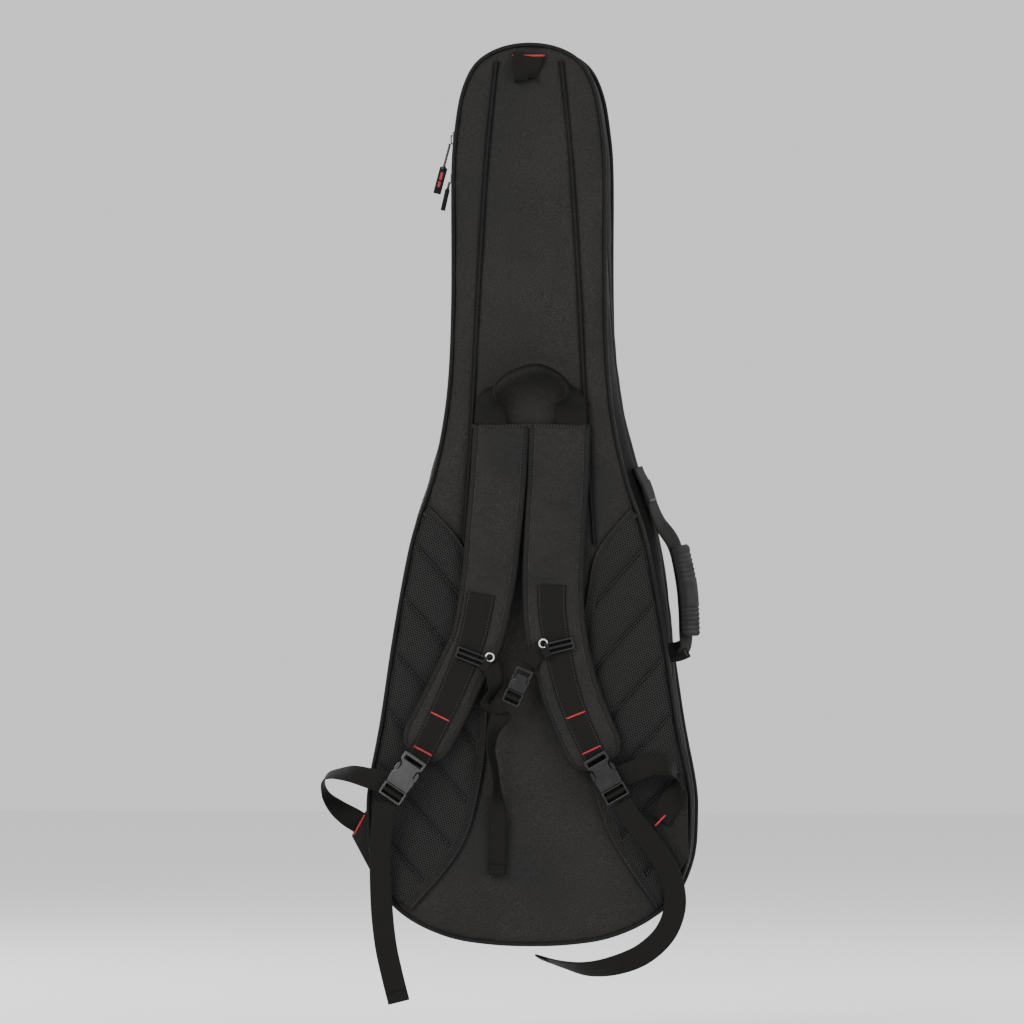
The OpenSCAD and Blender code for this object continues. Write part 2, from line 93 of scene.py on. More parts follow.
class Graph:
    """A short way to wire a Principled material."""

    def __init__(self, name):
        self.material = bpy.data.materials.new(name)
        self.material.use_nodes = True
        self.tree = self.material.node_tree
        self.bsdf = self.tree.nodes["Principled BSDF"]

    def put(self, socket, value):
        if isinstance(value, bpy.types.NodeSocket):
            self.tree.links.new(value, socket)
        elif isinstance(value, tuple) and len(value) == 3 and len(socket.default_value) == 4:
            socket.default_value = (*value, 1)
        else:
            socket.default_value = value

    def node(self, kind, settings=None, **inputs):
        n = self.tree.nodes.new("ShaderNode" + kind)
        for key, value in (settings or {}).items():
            setattr(n, key, value)
        for key, value in inputs.items():
            self.put(n.inputs[key.replace("_", " ")], value)
        return n

    def math(self, operation, a, b=0.0, clamp=False):
        n = self.node("Math", {"operation": operation, "use_clamp": clamp})
        self.put(n.inputs[0], a)
        self.put(n.inputs[1], b)
        return n.outputs[0]

    def mix(self, factor, a, b):
        n = self.node("Mix", {"data_type": "RGBA"})
        self.put(n.inputs[0], factor)
        self.put(n.inputs[6], a)
        self.put(n.inputs[7], b)
        return n.outputs[2]

    def place(self, output="Object"):
        return self.node("TexCoord").outputs[output]

    def noise(self, scale, detail=2.0, roughness=0.5, vector=None):
        n = self.node("TexNoise", Scale=scale, Detail=detail, Roughness=roughness)
        self.put(n.inputs["Vector"], vector or self.place())
        return n.outputs["Fac"]

    def wave(self, value, pitch, phase=0.0):
        """sin of value with a pitch in metres, from 0 to 1."""
        turned = self.math("ADD", self.math("MULTIPLY", value, 2 * math.pi / pitch), phase)
        return self.math("ADD", self.math("MULTIPLY", self.math("SINE", turned), 0.5), 0.5)

    def level(self, value, low, high, out_low=0.0, out_high=1.0):
        n = self.node("MapRange", {"interpolation_type": "SMOOTHSTEP"}, Value=value)
        for key, number in (("From Min", low), ("From Max", high), ("To Min", out_low), ("To Max", out_high)):
            n.inputs[key].default_value = number
        return n.outputs[0]

    def finish(self, colour, rough, height=None, depth=0.0003, sheen=0.0, metallic=0.0, specular=0.5):
        self.put(self.bsdf.inputs["Base Color"], colour)
        self.put(self.bsdf.inputs["Roughness"], rough)
        self.put(self.bsdf.inputs["Metallic"], metallic)
        self.put(self.bsdf.inputs["Specular IOR Level"], specular)
        if sheen:
            self.put(self.bsdf.inputs["Sheen Weight"], sheen)
            self.put(self.bsdf.inputs["Sheen Roughness"], 0.5)
        if height is not None:
            bump = self.node("Bump", Height=height, Strength=1.0, Distance=depth)
            self.put(self.bsdf.inputs["Normal"], bump.outputs[0])
        return self.material


def shade(grey, warmth=0.0):
    """A dark grey as linear colour, with red and blue pulled apart by warmth."""
    return (grey * (1 + warmth), grey, grey * (1 - warmth))


def woven_cloth(name, grey, warmth, pitch_mm=1.3, sheen=0.02, rough=0.78, specular=0.12):
    """Plain-woven polyester: crossed yarns, slubs and soft wear."""
    g = Graph(name)
    x, y, z = g.node("SeparateXYZ", Vector=g.place()).outputs
    across = g.math("ADD", x, y)
    warp = g.wave(across, pitch_mm * MM)
    weft = g.wave(z, pitch_mm * MM)
    yarn = g.math("ADD", g.math("MULTIPLY", warp, weft),
                  g.math("MULTIPLY", g.math("SUBTRACT", 1.0, warp), g.math("SUBTRACT", 1.0, weft)))
    slub = g.noise(700, 3, 0.6)
    cloud = g.noise(9, 3, 0.5)
    mixed = g.math("ADD", g.math("MULTIPLY", yarn, 0.35), g.math("MULTIPLY", slub, 0.65))
    thread = g.mix(g.level(mixed, 0.34, 0.7), shade(grey * 0.35, warmth), shade(grey * 1.85, warmth))
    colour = g.mix(g.level(cloud, 0.35, 0.7, 0.0, 0.45), thread, shade(grey * 0.8, -warmth))
    worn = g.level(cloud, 0.3, 0.7, rough - 0.06, rough + 0.08)
    return g.finish(colour, worn, mixed, 0.0006, sheen, specular=specular)


def ribbed_webbing(name, grey, pitch_mm=2.0, rough=0.55):
    """Flat webbing: twill ribs that run in a chevron over its width. Needs UVs in metres."""
    g = Graph(name)
    u, v, _ = g.node("SeparateXYZ", Vector=g.node("UVMap", {"uv_map": "cloth"}).outputs[0]).outputs
    fold = g.math("PINGPONG", g.math("ADD", u, 0.1), 0.0031)
    rib = g.wave(g.math("ADD", v, g.math("MULTIPLY", fold, 0.55)), pitch_mm * MM)
    strand = g.wave(u, 0.0016)
    fuzz = g.noise(900, 2, 0.6)
    height = g.math("ADD", g.math("MULTIPLY", rib, 0.6), g.math("MULTIPLY", strand, 0.25))
    height = g.math("ADD", height, g.math("MULTIPLY", fuzz, 0.3))
    colour = g.mix(g.level(height, 0.25, 0.95), shade(grey * 0.5, 0.03), shade(grey * 1.55, 0.05))
    return g.finish(colour, g.level(fuzz, 0.2, 0.8, rough - 0.08, rough + 0.12), height, 0.0004, 0.0, specular=0.06)


def air_mesh(name, grey, pitch_mm=3.1):
    """Spacer mesh: a hexagonal net of small holes over black foam. The holes are painted near black: the dark foam
    beneath, deepened by painted shade inside each hole.
    """
    g = Graph(name)
    x, y, z = g.node("SeparateXYZ", Vector=g.place()).outputs
    step = pitch_mm * MM * math.cos(math.pi / 6)
    total = None
    for turn in (12, 72, 132):
        a = math.radians(turn)
        lane = g.math("ADD", g.math("MULTIPLY", x, math.cos(a)), g.math("MULTIPLY", z, math.sin(a)))
        ripple = g.wave(lane, step, math.pi / 2)
        total = ripple if total is None else g.math("ADD", total, ripple)
    net = g.math("SUBTRACT", 1.0, g.level(total, 1.35, 2.15))
    fuzz = g.noise(600, 2, 0.6)
    # Holes at 5% of the thread grey: the black foam below, plus painted shade inside the holes.
    colour = g.mix(net, shade(grey * 0.05), shade(grey, 0.02))
    colour = g.mix(g.level(fuzz, 0.4, 0.8, 0.0, 0.35), colour, shade(grey * 1.5, 0.02))
    height = g.math("ADD", net, g.math("MULTIPLY", fuzz, 0.15))
    return g.finish(colour, 0.66, height, 0.0012, 0.0, specular=0.06)


def moulded(name, grey, rough=0.4, grain=420, depth=0.00012, specular=0.5):
    """Injection-moulded plastic or rubber: a fine spark-eroded grain and faint scuffs."""
    g = Graph(name)
    grains = g.noise(grain * 5, 2, 0.6)
    scuff = g.noise(60, 4, 0.7)
    colour = g.mix(g.level(scuff, 0.45, 0.75), shade(grey), shade(grey * 1.35))
    return g.finish(colour, g.level(scuff, 0.3, 0.7, rough - 0.07, rough + 0.1), grains, depth, specular=specular)


def pile(name, grey, warmth=0.0):
    """Short plush: soft tufts brushed in patches."""
    g = Graph(name)
    tuft = g.noise(1100, 3, 0.7)
    brushed = g.noise(25, 3, 0.6)
    mixed = g.math("ADD", g.math("MULTIPLY", tuft, 0.6), g.math("MULTIPLY", brushed, 0.4))
    colour = g.mix(g.level(mixed, 0.3, 0.7), shade(grey * 0.6, warmth), shade(grey * 1.4, warmth))
    return g.finish(colour, 0.95, tuft, 0.0008, 0.5, specular=0.15)


def metal_finish(name, grey, rough):
    g = Graph(name)
    wear = g.noise(300, 4, 0.7)
    colour = g.mix(g.level(wear, 0.4, 0.8), shade(grey), shade(grey * 1.6))
    return g.finish(colour, g.level(wear, 0.3, 0.7, rough - 0.08, rough + 0.1), wear, 0.00008, metallic=0.85)


def thread_finish(name, colour, rough=0.5):
    g = Graph(name)
    twist = g.noise(1500, 2, 0.6)
    dark = tuple(c * 0.55 for c in colour)
    return g.finish(g.mix(g.level(twist, 0.3, 0.7), dark, colour), rough, twist, 0.0002, 0.1)


cloth = woven_cloth("cloth", 0.016, 0.07, pitch_mm=1.7)
side_cloth = woven_cloth("side_cloth", 0.006, 0.05, sheen=0.0, rough=0.66, specular=0.06)
binding = woven_cloth("binding", 0.012, 0.05, sheen=0.0, pitch_mm=1.3, rough=0.6, specular=0.08)
piping_cloth = woven_cloth("piping_cloth", 0.009, 0.03, sheen=0.0, pitch_mm=1.0, rough=0.5, specular=0.1)
webbing = ribbed_webbing("webbing", 0.0085)
air = air_mesh("air_mesh", 0.021)
plush = pile("plush", 0.07)
zip_tape = ribbed_webbing("zip_tape", 0.012, 1.2, 0.7)
coil_plastic = moulded("coil_plastic", 0.02, 0.35)
plastic = moulded("plastic", 0.011, 0.33, specular=0.24)
# A lighter, shinier copy of the plastic, used only on the left load buckle: painted glare, as though it caught more
# light than the right buckle of the same plastic.
painted_glare_plastic = moulded("painted_glare_plastic", 0.03, 0.34, specular=0.42)
rubber = moulded("rubber", 0.007, 0.65, 200, 0.0002, specular=0.14)
guard_rubber = moulded("guard_rubber", 0.03, 0.42, 150, 0.0003)
black_metal = metal_finish("black_metal", 0.06, 0.35)
steel = metal_finish("steel", 0.55, 0.25)
red_thread = thread_finish("red_thread", (0.55, 0.012, 0.022))
dark_thread = thread_finish("dark_thread", (0.024, 0.0235, 0.023))
red_rubber = thread_finish("red_rubber", (0.42, 0.012, 0.02))


# ---------------------------------------------------------------- shape helpers

def at(p):
    """A place in the row frame from x, y and height above the bottom of the bag, in millimetres."""
    return Vector((p[0] * MM, p[1] * MM, BASE + p[2] * MM))


def unit(v):
    return v / max(np.linalg.norm(v), 1e-12)


def smooth_path(points, n):
    """Points along the smooth curve that the part's source draws through the same route."""
    p = [np.array(q, float) for q in points]
    out = []
    for i in range(len(p) - 1):
        a, b, c, d = p[max(i - 1, 0)], p[i], p[i + 1], p[min(i + 2, len(p) - 1)]
        for k in range(n):
            t = k / n
            out.append(0.5 * (2 * b + (c - a) * t + (2 * a - 5 * b + 4 * c - d) * t * t
                              + (3 * b - a - 3 * c + d) * t ** 3))
    return np.array(out + [p[-1]])


def even_path(points, step):
    """The same path with points an even step apart."""
    p = np.array(points, float)
    s = np.concatenate([[0], np.cumsum(np.linalg.norm(np.diff(p[:, :3], axis=0), axis=1))])
    count = max(int(round(s[-1] / step)), 2)
    t = np.linspace(0, s[-1], count + 1)
    return np.column_stack([np.interp(t, s, p[:, k]) for k in range(p.shape[1])])


def route(points, step_mm=3.0):
    """A route in metres in the row frame, evenly spaced."""
    dense = smooth_path(points, 16)
    dense[:, 1] += BACK_Y / MM
    even = even_path(dense, step_mm) * MM
    even[:, 2] += BASE
    return even


def sideways(path):
    """At each point of a path that faces backward, the direction across it."""
    across = np.cross(np.gradient(path, axis=0), np.array(BACKWARD, float))
    return across / np.linalg.norm(across, axis=1, keepdims=True)


def height(z):
    """Height above the bottom of the bag in mm, from z in metres."""
    return (z - BASE) / MM


def mesh_piece(name, verts, faces, material, uvs=None, smooth=True):
    mesh = bpy.data.meshes.new(name)
    mesh.from_pydata([tuple(v) for v in verts], [], [tuple(f) for f in faces])
    mesh.validate()
    if uvs is not None:
        layer = mesh.uv_layers.new(name="cloth")
        for loop in mesh.loops:
            layer.data[loop.index].uv = uvs[loop.vertex_index]
    mesh.update()
    obj = bpy.data.objects.new(name, mesh)
    bpy.context.scene.collection.objects.link(obj)
    for m in material if isinstance(material, list) else [material]:
        mesh.materials.append(m)
    if smooth:
        mesh.shade_smooth()
    return obj


def fix_normals(obj):
    bm = bmesh.new()
    bm.from_mesh(obj.data)
    bmesh.ops.recalc_face_normals(bm, faces=bm.faces)
    bm.to_mesh(obj.data)
    bm.free()
    return obj


def grid_quads(rows, across):
    """Faces of a grid of rows by across quads."""
    n = across + 1
    return [(i * n + k, i * n + k + 1, (i + 1) * n + k + 1, (i + 1) * n + k)
            for i in range(rows) for k in range(across)]


def tunnel(rings, sides, closed=False, caps=True):
    """Faces that join rings of so many points, closed on itself or with a cap at each end."""
    faces = []
    for i in range(rings if closed else rings - 1):
        j = (i + 1) % rings
        for k in range(sides):
            m = (k + 1) % sides
            faces.append((i * sides + k, i * sides + m, j * sides + m, j * sides + k))
    if caps and not closed:
        faces.append(tuple(range(sides)))
        faces.append(tuple((rings - 1) * sides + k for k in reversed(range(sides))))
    return faces


def slab_faces(quads, n, count):
    """Faces of two equal grids of count points, n to a row, and the rim between them."""
    rows = count // n
    border = list(range(n)) + [i * n + n - 1 for i in range(1, rows)]
    border += [(rows - 1) * n + k for k in reversed(range(n - 1))] + [i * n for i in reversed(range(1, rows - 1))]
    faces = quads + [tuple(i + count for i in q[::-1]) for q in quads]
    return faces + [(a, b, b + count, a + count) for a, b in zip(border, border[1:] + border[:1])]


def tube_mesh(path, radius, sides=8, flat=1.0, faces_dir=None, closed=False):
    """Vertices and faces of a tube; flat squeezes it along its face direction."""
    path = np.array(path, float)
    n = len(path)
    radii = np.broadcast_to(np.array(radius, float), (n,))
    verts = []
    for i in range(n):
        if closed:
            along = unit(path[(i + 1) % n] - path[i - 1])
        else:
            along = unit(path[min(i + 1, n - 1)] - path[max(i - 1, 0)])
        look = np.array(BACKWARD if faces_dir is None else faces_dir[i] if np.ndim(faces_dir) > 1 else faces_dir, float)
        side = np.cross(along, look)
        side = unit(side) if np.linalg.norm(side) > 1e-6 else unit(np.cross(along, (0.3, 0.2, 1)))
        up = np.cross(side, along)
        for k in range(sides):
            a = 2 * math.pi * k / sides
            verts.append(path[i] + side * math.cos(a) * radii[i] + up * math.sin(a) * radii[i] * flat)
    return verts, tunnel(n, sides, closed)


def join_parts(name, parts, material):
    verts, faces = [], []
    for v, f in parts:
        faces += [tuple(i + len(verts) for i in face) for face in f]
        verts += list(v)
    return fix_normals(mesh_piece(name, verts, faces, material))


def assembled(name, parts, material, body, slot, *nodes, fill=None):
    """Joins parts into one finished piece."""
    settle(join_parts(name, parts, material), body, slot, *nodes, fill=fill)


def band(name, path, width_mm, thick_mm, material, looks=None, ripple_mm=0.0, across=8, seed=0.0):
    """Flat webbing: a thin band with soft edges along an even path, facing looks. Its UVs are in metres."""
    n = len(path)
    widths = np.atleast_1d(width_mm)
    halves = np.interp(np.linspace(0, 1, n), np.linspace(0, 1, len(widths)), widths) * MM / 2
    t = thick_mm * MM / 2
    looks = looks or [BACKWARD]
    if len(looks) > 1:
        looks = smooth_path(looks, 16)
        spots = np.linspace(0, len(looks) - 1, n)
        looks = np.column_stack([np.interp(spots, range(len(looks)), looks[:, k]) for k in range(3)])
    else:
        looks = np.repeat(np.array(looks, float), n, 0)
    top = [(-1 + 2 * k / across, 1.0) for k in range(across + 1)]
    rim = [(1.0 + 0.5 * thick_mm / widths[0], 0.0)]
    profile = top + rim + [(x, -1.0) for x, _ in reversed(top)] + [(-r, 0.0) for r, _ in rim]
    travel = np.concatenate([[0], np.cumsum(np.linalg.norm(np.diff(path, axis=0), axis=1))])
    verts, uvs = [], []
    k = len(profile)
    for i in range(n):
        along = unit(path[min(i + 1, n - 1)] - path[max(i - 1, 0)])
        side = unit(np.cross(along, looks[i]))
        up = np.cross(side, along)
        w = halves[i]
        for x, y in profile:
            lift = ripple_mm * MM * perlin(Vector((x * 1.3 + seed, travel[i] * 28, seed))) if ripple_mm else 0
            edge = 1 - 0.35 * max(abs(x) - 0.85, 0) / 0.15 if y else 1
            verts.append(path[i] + side * x * w + up * (y * t * edge + lift))
            uvs.append((x * w, travel[i]))
    faces = tunnel(n, k, caps=False)
    half = across + 1
    for i in (0, n - 1):
        ring = [i * k + a for a in range(k)]
        for a in range(across):
            quad = (ring[a], ring[a + 1], ring[2 * half - 1 - a], ring[2 * half - a])
            faces.append(quad if i else quad[::-1])
        faces.append((ring[half - 1], ring[half], ring[half + 1]))
        faces.append((ring[-1], ring[0], ring[-2]))
    return fix_normals(mesh_piece(name, verts, faces, material, uvs))


def capsule(start, end, radius, sides=5):
    a, b = np.array(start, float), np.array(end, float)
    path = [a + (b - a) * t for t in (0, 0.15, 0.5, 0.85, 1)]
    return tube_mesh(path, [radius * r for r in (0.35, 0.9, 1, 0.9, 0.35)], sides)


def stitches(path, lift, pitch_mm=4.2, long_mm=2.9, radius_mm=0.32):
    """A line of running stitches that lies on a path, lifted by a vector."""
    even = even_path(path, pitch_mm * MM)
    parts = []
    for a, b in zip(even[:-1], even[1:]):
        d = unit(b[:3] - a[:3]) * long_mm * MM / 2
        mid = (a[:3] + b[:3]) / 2 + np.array(lift)
        parts.append(capsule(mid - d, mid + d, radius_mm * MM, 4))
    return parts


def bartack(centre, across, normal, width_mm, depth_mm=1.9, count=17):
    """A dense zigzag of thread over a webbing's width."""
    c, a, n = np.array(centre, float), unit(np.array(across, float)), unit(np.array(normal, float))
    down = unit(np.cross(a, n))
    parts = []
    for i in range(count):
        x = (i / (count - 1) - 0.5) * width_mm * MM
        step = width_mm * MM / (count - 1) / 2
        tip = down * depth_mm * MM / 2
        parts.append(capsule(c + a * (x - step * 0.5) - tip, c + a * (x + step * 0.5) + tip, 0.42 * MM))
    for s in (-0.28, 0.28):
        core = down * s * depth_mm * MM
        end = a * width_mm * MM / 2
        parts.append(capsule(c - end + core, c + end + core, 0.4 * MM))
    return parts


def puff(obj, keep, pressure=4.0, cap_mm=8.0, shrink=0.0, stiffness=12.0, frames=20):
    """Swells a mesh as padded fabric by cloth simulation. keep holds 1 where a seam pins it and 0 where it is free."""
    rest = np.array([v.co for v in obj.data.vertices])
    group = obj.vertex_groups.new(name="seams")
    for i, k in enumerate(keep):
        if k > 0.001:
            group.add([i], float(k), "REPLACE")
    cloth_mod = obj.modifiers.new("cloth", "CLOTH")
    s = cloth_mod.settings
    s.quality = 6
    s.mass = 0.3
    s.vertex_group_mass = "seams"
    s.tension_stiffness = s.compression_stiffness = s.shear_stiffness = stiffness
    s.bending_stiffness = 0.4
    s.shrink_min = shrink
    s.use_pressure = True
    s.uniform_pressure_force = pressure
    s.effector_weights.gravity = 0
    cloth_mod.collision_settings.use_collision = False
    scene = bpy.context.scene
    cloth_mod.point_cache.frame_start, cloth_mod.point_cache.frame_end = 1, frames
    for f in range(1, frames + 1):
        scene.frame_set(f)
    graph = bpy.context.evaluated_depsgraph_get()
    shaped = obj.evaluated_get(graph).data
    moved = np.array([v.co for v in shaped.vertices])
    scene.frame_set(1)
    obj.modifiers.remove(cloth_mod)
    obj.vertex_groups.remove(group)
    shift = moved - rest
    size = np.linalg.norm(shift, axis=1, keepdims=True)
    cap = cap_mm * MM
    limit = cap * np.tanh(size / cap) / np.maximum(size, 1e-9)
    final = np.where(np.isfinite(shift * limit), rest + shift * limit, rest)
    obj.data.vertices.foreach_set("co", final.astype(np.float32).ravel())
    obj.data.update()
    return obj


def subdivide(obj, levels=1):
    mod = obj.modifiers.new("soft", "SUBSURF")
    mod.levels = mod.render_levels = levels
    graph = bpy.context.evaluated_depsgraph_get()
    fine = bpy.data.meshes.new_from_object(obj.evaluated_get(graph))
    obj.modifiers.remove(mod)
    obj.data = fine
    fine.shade_smooth()
    return obj


# ---------------------------------------------------------------- the bag's outline, taken from the frame

def frame_outline(node):
    """The closed outline of an upright CAD slab, from its own corners, as x and z in metres."""
    co = np.array([v.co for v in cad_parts[node].data.vertices])
    rim = np.unique(np.round(co[np.abs(co[:, 1] - co[:, 1].min()) < 1e-5][:, [0, 2]], 6), axis=0)
    middle = np.array([0, BASE + 300 * MM])
    order = np.argsort(np.arctan2(rim[:, 0] - middle[0], rim[:, 1] - middle[1]))
    return rim[order]


rim = frame_outline("back_panel")
right_half = rim[rim[:, 0] > 1e-4]
right_half = np.vstack([[0, rim[:, 1].max()], right_half[np.argsort(-right_half[:, 1])], [0, rim[:, 1].min()]])


def half_edge(step_mm):
    """The right half of the outline from the top to the bottom, smooth and evenly spaced."""
    p = smooth_path(right_half, 4)
    return even_path(p, step_mm * MM)


def closed_edge(step_mm, grow_mm=0.0):
    """The whole outline, clockwise from the top, moved out by grow, with its outward directions."""
    h = half_edge(step_mm)
    ring = np.vstack([h, (h * [-1, 1])[::-1][1:-1]])
    d = np.roll(ring, -1, 0) - np.roll(ring, 1, 0)
    d /= np.linalg.norm(d, axis=1, keepdims=True)
    out = np.column_stack([-d[:, 1], d[:, 0]])
    for _ in range(3):
        out = out + np.roll(out, 1, 0) + np.roll(out, -1, 0)
        out /= np.linalg.norm(out, axis=1, keepdims=True)
    return ring + out * grow_mm * MM, out


edge_tree_points, _ = closed_edge(2.0)
edge_tree = KDTree(len(edge_tree_points))
for index, point in enumerate(edge_tree_points):
    edge_tree.insert((point[0], 0, point[1]), index)
edge_tree.balance()


def edge_distance(x, z):
    return edge_tree.find((x, 0, z))[2]


def path_distance(xz, path):
    """Distance from each of many points to a path, both as x and z."""
    best = np.full(len(xz), 1e9)
    for a, b in zip(path[:-1], path[1:]):
        d = b - a
        t = np.clip(((xz - a) @ d) / max(d @ d, 1e-12), 0, 1)
        best = np.minimum(best, np.linalg.norm(xz - a - t[:, None] * d, axis=1))
    return best


def panel_grid(step_mm, inset_mm=0.0):
    """A grid that fills the outline: its points as x and z, its quads, and how many points a row has."""
    h = half_edge(step_mm)
    width = max(h[:, 0])
    across = int(2 * width / (step_mm * MM)) // 2 * 2
    rows = []
    for x, z in h:
        rows.append([(x - inset_mm * MM) * (-1 + 2 * k / across) if x > inset_mm * MM else 0.0
                     for k in range(across + 1)])
    xz = np.array([(v, h[i][1]) for i, row in enumerate(rows) for v in row])
    return xz, grid_quads(len(h) - 1, across), across + 1


def wrinkle(x, z, scale, seed):
    """A soft signed fold pattern, from about -1 to 1."""
    broad = perlin(Vector((x * scale, seed, z * scale)))
    return broad + 0.5 * perlin(Vector((x * scale * 2.3, seed + 7, z * scale * 2.3)))


# ---------------------------------------------------------------- the case

def slab_piece(name, xz, quads, n, y_outer, y_inner, material):
    """A closed panel between two height fields over one grid. Its outer face comes first."""
    count = len(xz)
    verts = [(x, y, z) for (x, z), y in zip(xz, y_outer)] + [(x, y, z) for (x, z), y in zip(xz, y_inner)]
    obj = mesh_piece(name, verts, slab_faces(quads, n, count), material)
    bm = bmesh.new()
    bm.from_mesh(obj.data)
    bmesh.ops.remove_doubles(bm, verts=bm.verts, dist=2e-5)
    bmesh.ops.dissolve_degenerate(bm, edges=bm.edges, dist=1e-6)
    bmesh.ops.recalc_face_normals(bm, faces=bm.faces)
    bm.to_mesh(obj.data)
    bm.free()
    obj.data.shade_smooth()
    return obj


def side_lean(high, x):
    """How far the right side of the waist leans out at its zip, in mm."""
    lean = np.interp(high, (312, 350, 385, 440, 500, 565, 664, 740, 825), (0, 4, 8, 10.5, 10.5, 9, 8, 4, 0))
    return float(lean) if x > 0 else 0.0


def ring_loft(name, profile, step_mm, materials, inner_from, swell=None, seed=0.0, wrinkle_mm=0.0):
    """A closed wall or tape round the outline. profile lists (y, grow) in mm; rows from inner_from on use the
    second material. A wall swells between its seams, and a tape follows the walls' inner edges."""
    ring, out = closed_edge(step_mm)
    n, k = len(ring), len(profile)
    verts = []
    for i in range(n):
        high = height(ring[i][1])
        for j, (y, grow) in enumerate(profile):
            lean = side_lean(high, ring[i][0])
            extra = 0.0 if swell else lean
            if swell and j < inner_from:
                t = (y - profile[0][0]) / (profile[inner_from - 1][0] - profile[0][0])
                extra = swell(high) * math.sin(math.pi * min(max(t, 0), 1)) ** 0.8
                extra += lean * math.sin(math.pi / 2 * t)
                if wrinkle_mm:
                    extra += wrinkle_mm * wrinkle(ring[i][0] + y * MM, ring[i][1], 22, seed) * math.sin(math.pi * t)
            p = ring[i] + out[i] * (grow + extra) * MM
            verts.append((p[0], BACK_Y + y * MM, p[1]))
    obj = mesh_piece(name, verts, tunnel(n, k, closed=True), materials)
    if len(materials) > 1:
        for index, face in enumerate(obj.data.polygons):
            face.material_index = 1 if inner_from <= index % k < k - 1 else 0
    return fix_normals(obj)


def edge_ring(y_mm, grow_mm, step_mm=3.0):
    ring, _ = closed_edge(step_mm, grow_mm)
    return [(x, BACK_Y + y_mm * MM, z) for x, z in ring]


CENTRE_EDGE = [(38, -2, 1038), (45, -2, 973), (51, -2, 905), (59, -2, 775), (66, -2, 632), (69, -2, 576), (77, -2, 472)]
LEFT_PAD_EDGE = [(-122, -3, 522), (-75, -3, 467), (-60, -3, 390), (-50, -3, 310), (-50, -3, 255), (-55, -3, 205),
                 (-70, -3, 140), (-93, -3, 98), (-138, -3, 46)]
RIGHT_PAD_EDGE = [(126, -3, 522), (82, -3, 464), (70, -3, 418), (60, -3, 340), (62, -3, 270), (74, -3, 200),
                  (88, -3, 150), (108, -3, 110), (150, -3, 48)]


def flat(path):
    return np.array(path)[:, [0, 2]]


seam_lines = [flat(route([(s * x, y, h) for x, y, h in CENTRE_EDGE])) for s in (-1, 1)]
pad_lines = [flat(route(LEFT_PAD_EDGE)), flat(route(RIGHT_PAD_EDGE))]


def make_back_skin():
    """The outer back panel: padded, rolled over at the piping, with a valley at each seam."""
    xz, quads, n = panel_grid(3.5, 0.5)
    to_edge = np.array([edge_distance(x, z) for x, z in xz])
    seam = np.minimum(path_distance(xz, seam_lines[0]), path_distance(xz, seam_lines[1]))
    pad = np.minimum(path_distance(xz, pad_lines[0]), path_distance(xz, pad_lines[1]))
    high = height(xz[:, 1])
    pillow = 4.2 * (1 - np.exp(-to_edge / (9 * MM)))
    valley = 2.2 * np.exp(-(seam / (5 * MM)) ** 2) * (high > 465) + 1.6 * np.exp(-(pad / (7 * MM)) ** 2)
    folds = np.array([wrinkle(x, z, 11, 3.0) for x, z in xz])
    fine = np.array([wrinkle(x * 2.4, z, 26, 9.0) for x, z in xz])
    pucker = np.array([perlin(Vector((x * 90, 0, z * 90))) for x, z in xz]) * np.exp(-to_edge / (14 * MM))
    lift = pillow - valley + 1.1 * folds + 0.6 * fine + 0.9 * pucker
    lift = np.minimum(lift, 4.6) - 1.5
    obj = slab_piece("back_skin", xz, quads, n, BACK_Y - lift * MM, np.full(len(xz), BACK_Y + 9.8 * MM), cloth)
    settle(obj, "tray", "cloth", "back_panel", "back_foam", "centre_panel", fill=0.7)
    return obj


def panel_height(x, z):
    """Outward lift of the back skin at a place, in metres, for what lies on it."""
    d = edge_distance(x, z)
    return (4.2 * (1 - math.exp(-d / (9 * MM))) - 1.5) * MM


def make_piping():
    """Cord-filled piping round both panels and along the two seams of the centre panel."""
    for name, node, body, y in (("back_cord_piping", "back_piping", "tray", 0.3),
                                ("front_cord_piping", "front_piping", "lid", (CASE_Y - BACK_Y) / MM - 1.2)):
        verts, faces = tube_mesh(edge_ring(y, 1.4, 2.5), 2.5 * MM, 10, 1.0, (0, 1, 0), True)
        obj = fix_normals(mesh_piece(name, verts, faces, piping_cloth))
        settle(obj, body, "trim_cloth", node)
    parts = []
    for s in (-1, 1):
        line = route([(s * x, y - 0.2, h) for x, y, h in CENTRE_EDGE], 2.5)
        parts.append(tube_mesh(line, 1.9 * MM, 10, 0.9))
        for side in (-3.6, 3.6):
            beside = line + [side * MM, 0.6 * MM, 0]
            parts += stitches(beside, (0, -0.5 * MM, 0), 4.4, 3.0, 0.28)
    assembled("centre_seam_piping", parts, piping_cloth, "tray", "trim_cloth", "centre_piping")


def side_swell(high):
    """How far the side wall stands out, in mm: most at the waist, least round the bottom."""
    waist = 5.5 * math.exp(-((high - 545) / 85) ** 2)
    top = min(max((1000 - high) / 120, 0), 1)
    return 2.2 * top + waist - 1.6 * math.exp(-(high / 160) ** 2)


def wall_profile(y0, y1, inner_y):
    outer = [(y0 + (y1 - y0) * t, -0.6) for t in np.linspace(0, 1, 9)]
    inner = [(y1 - 0.4 if inner_y < y1 else y1 + 0.4, -6.6), (inner_y, -7.0)]
    return outer + inner


def make_walls():
    """Both padded side walls, lined with plush inside."""
    case = (CASE_Y - BACK_Y) / MM
    obj = ring_loft("back_wall", wall_profile(1.6, 39.6, 10.2), 4.0, [side_cloth, plush], 9, side_swell, 1.0, 0.9)
    settle(obj, "tray", "trim_cloth", "back_gusset", fill=0.6)
    outer = [(case - 1.6 - (case - 58.2) * t, -0.6) for t in np.linspace(0, 1, 9)]
    obj = ring_loft("front_wall", outer + [(57.0, -6.6), (case - 10.2, -7.0)], 4.0, [side_cloth, plush], 9,
                    side_swell, 5.0, 0.9)
    settle(obj, "lid", "trim_cloth", "front_gusset", fill=0.6)


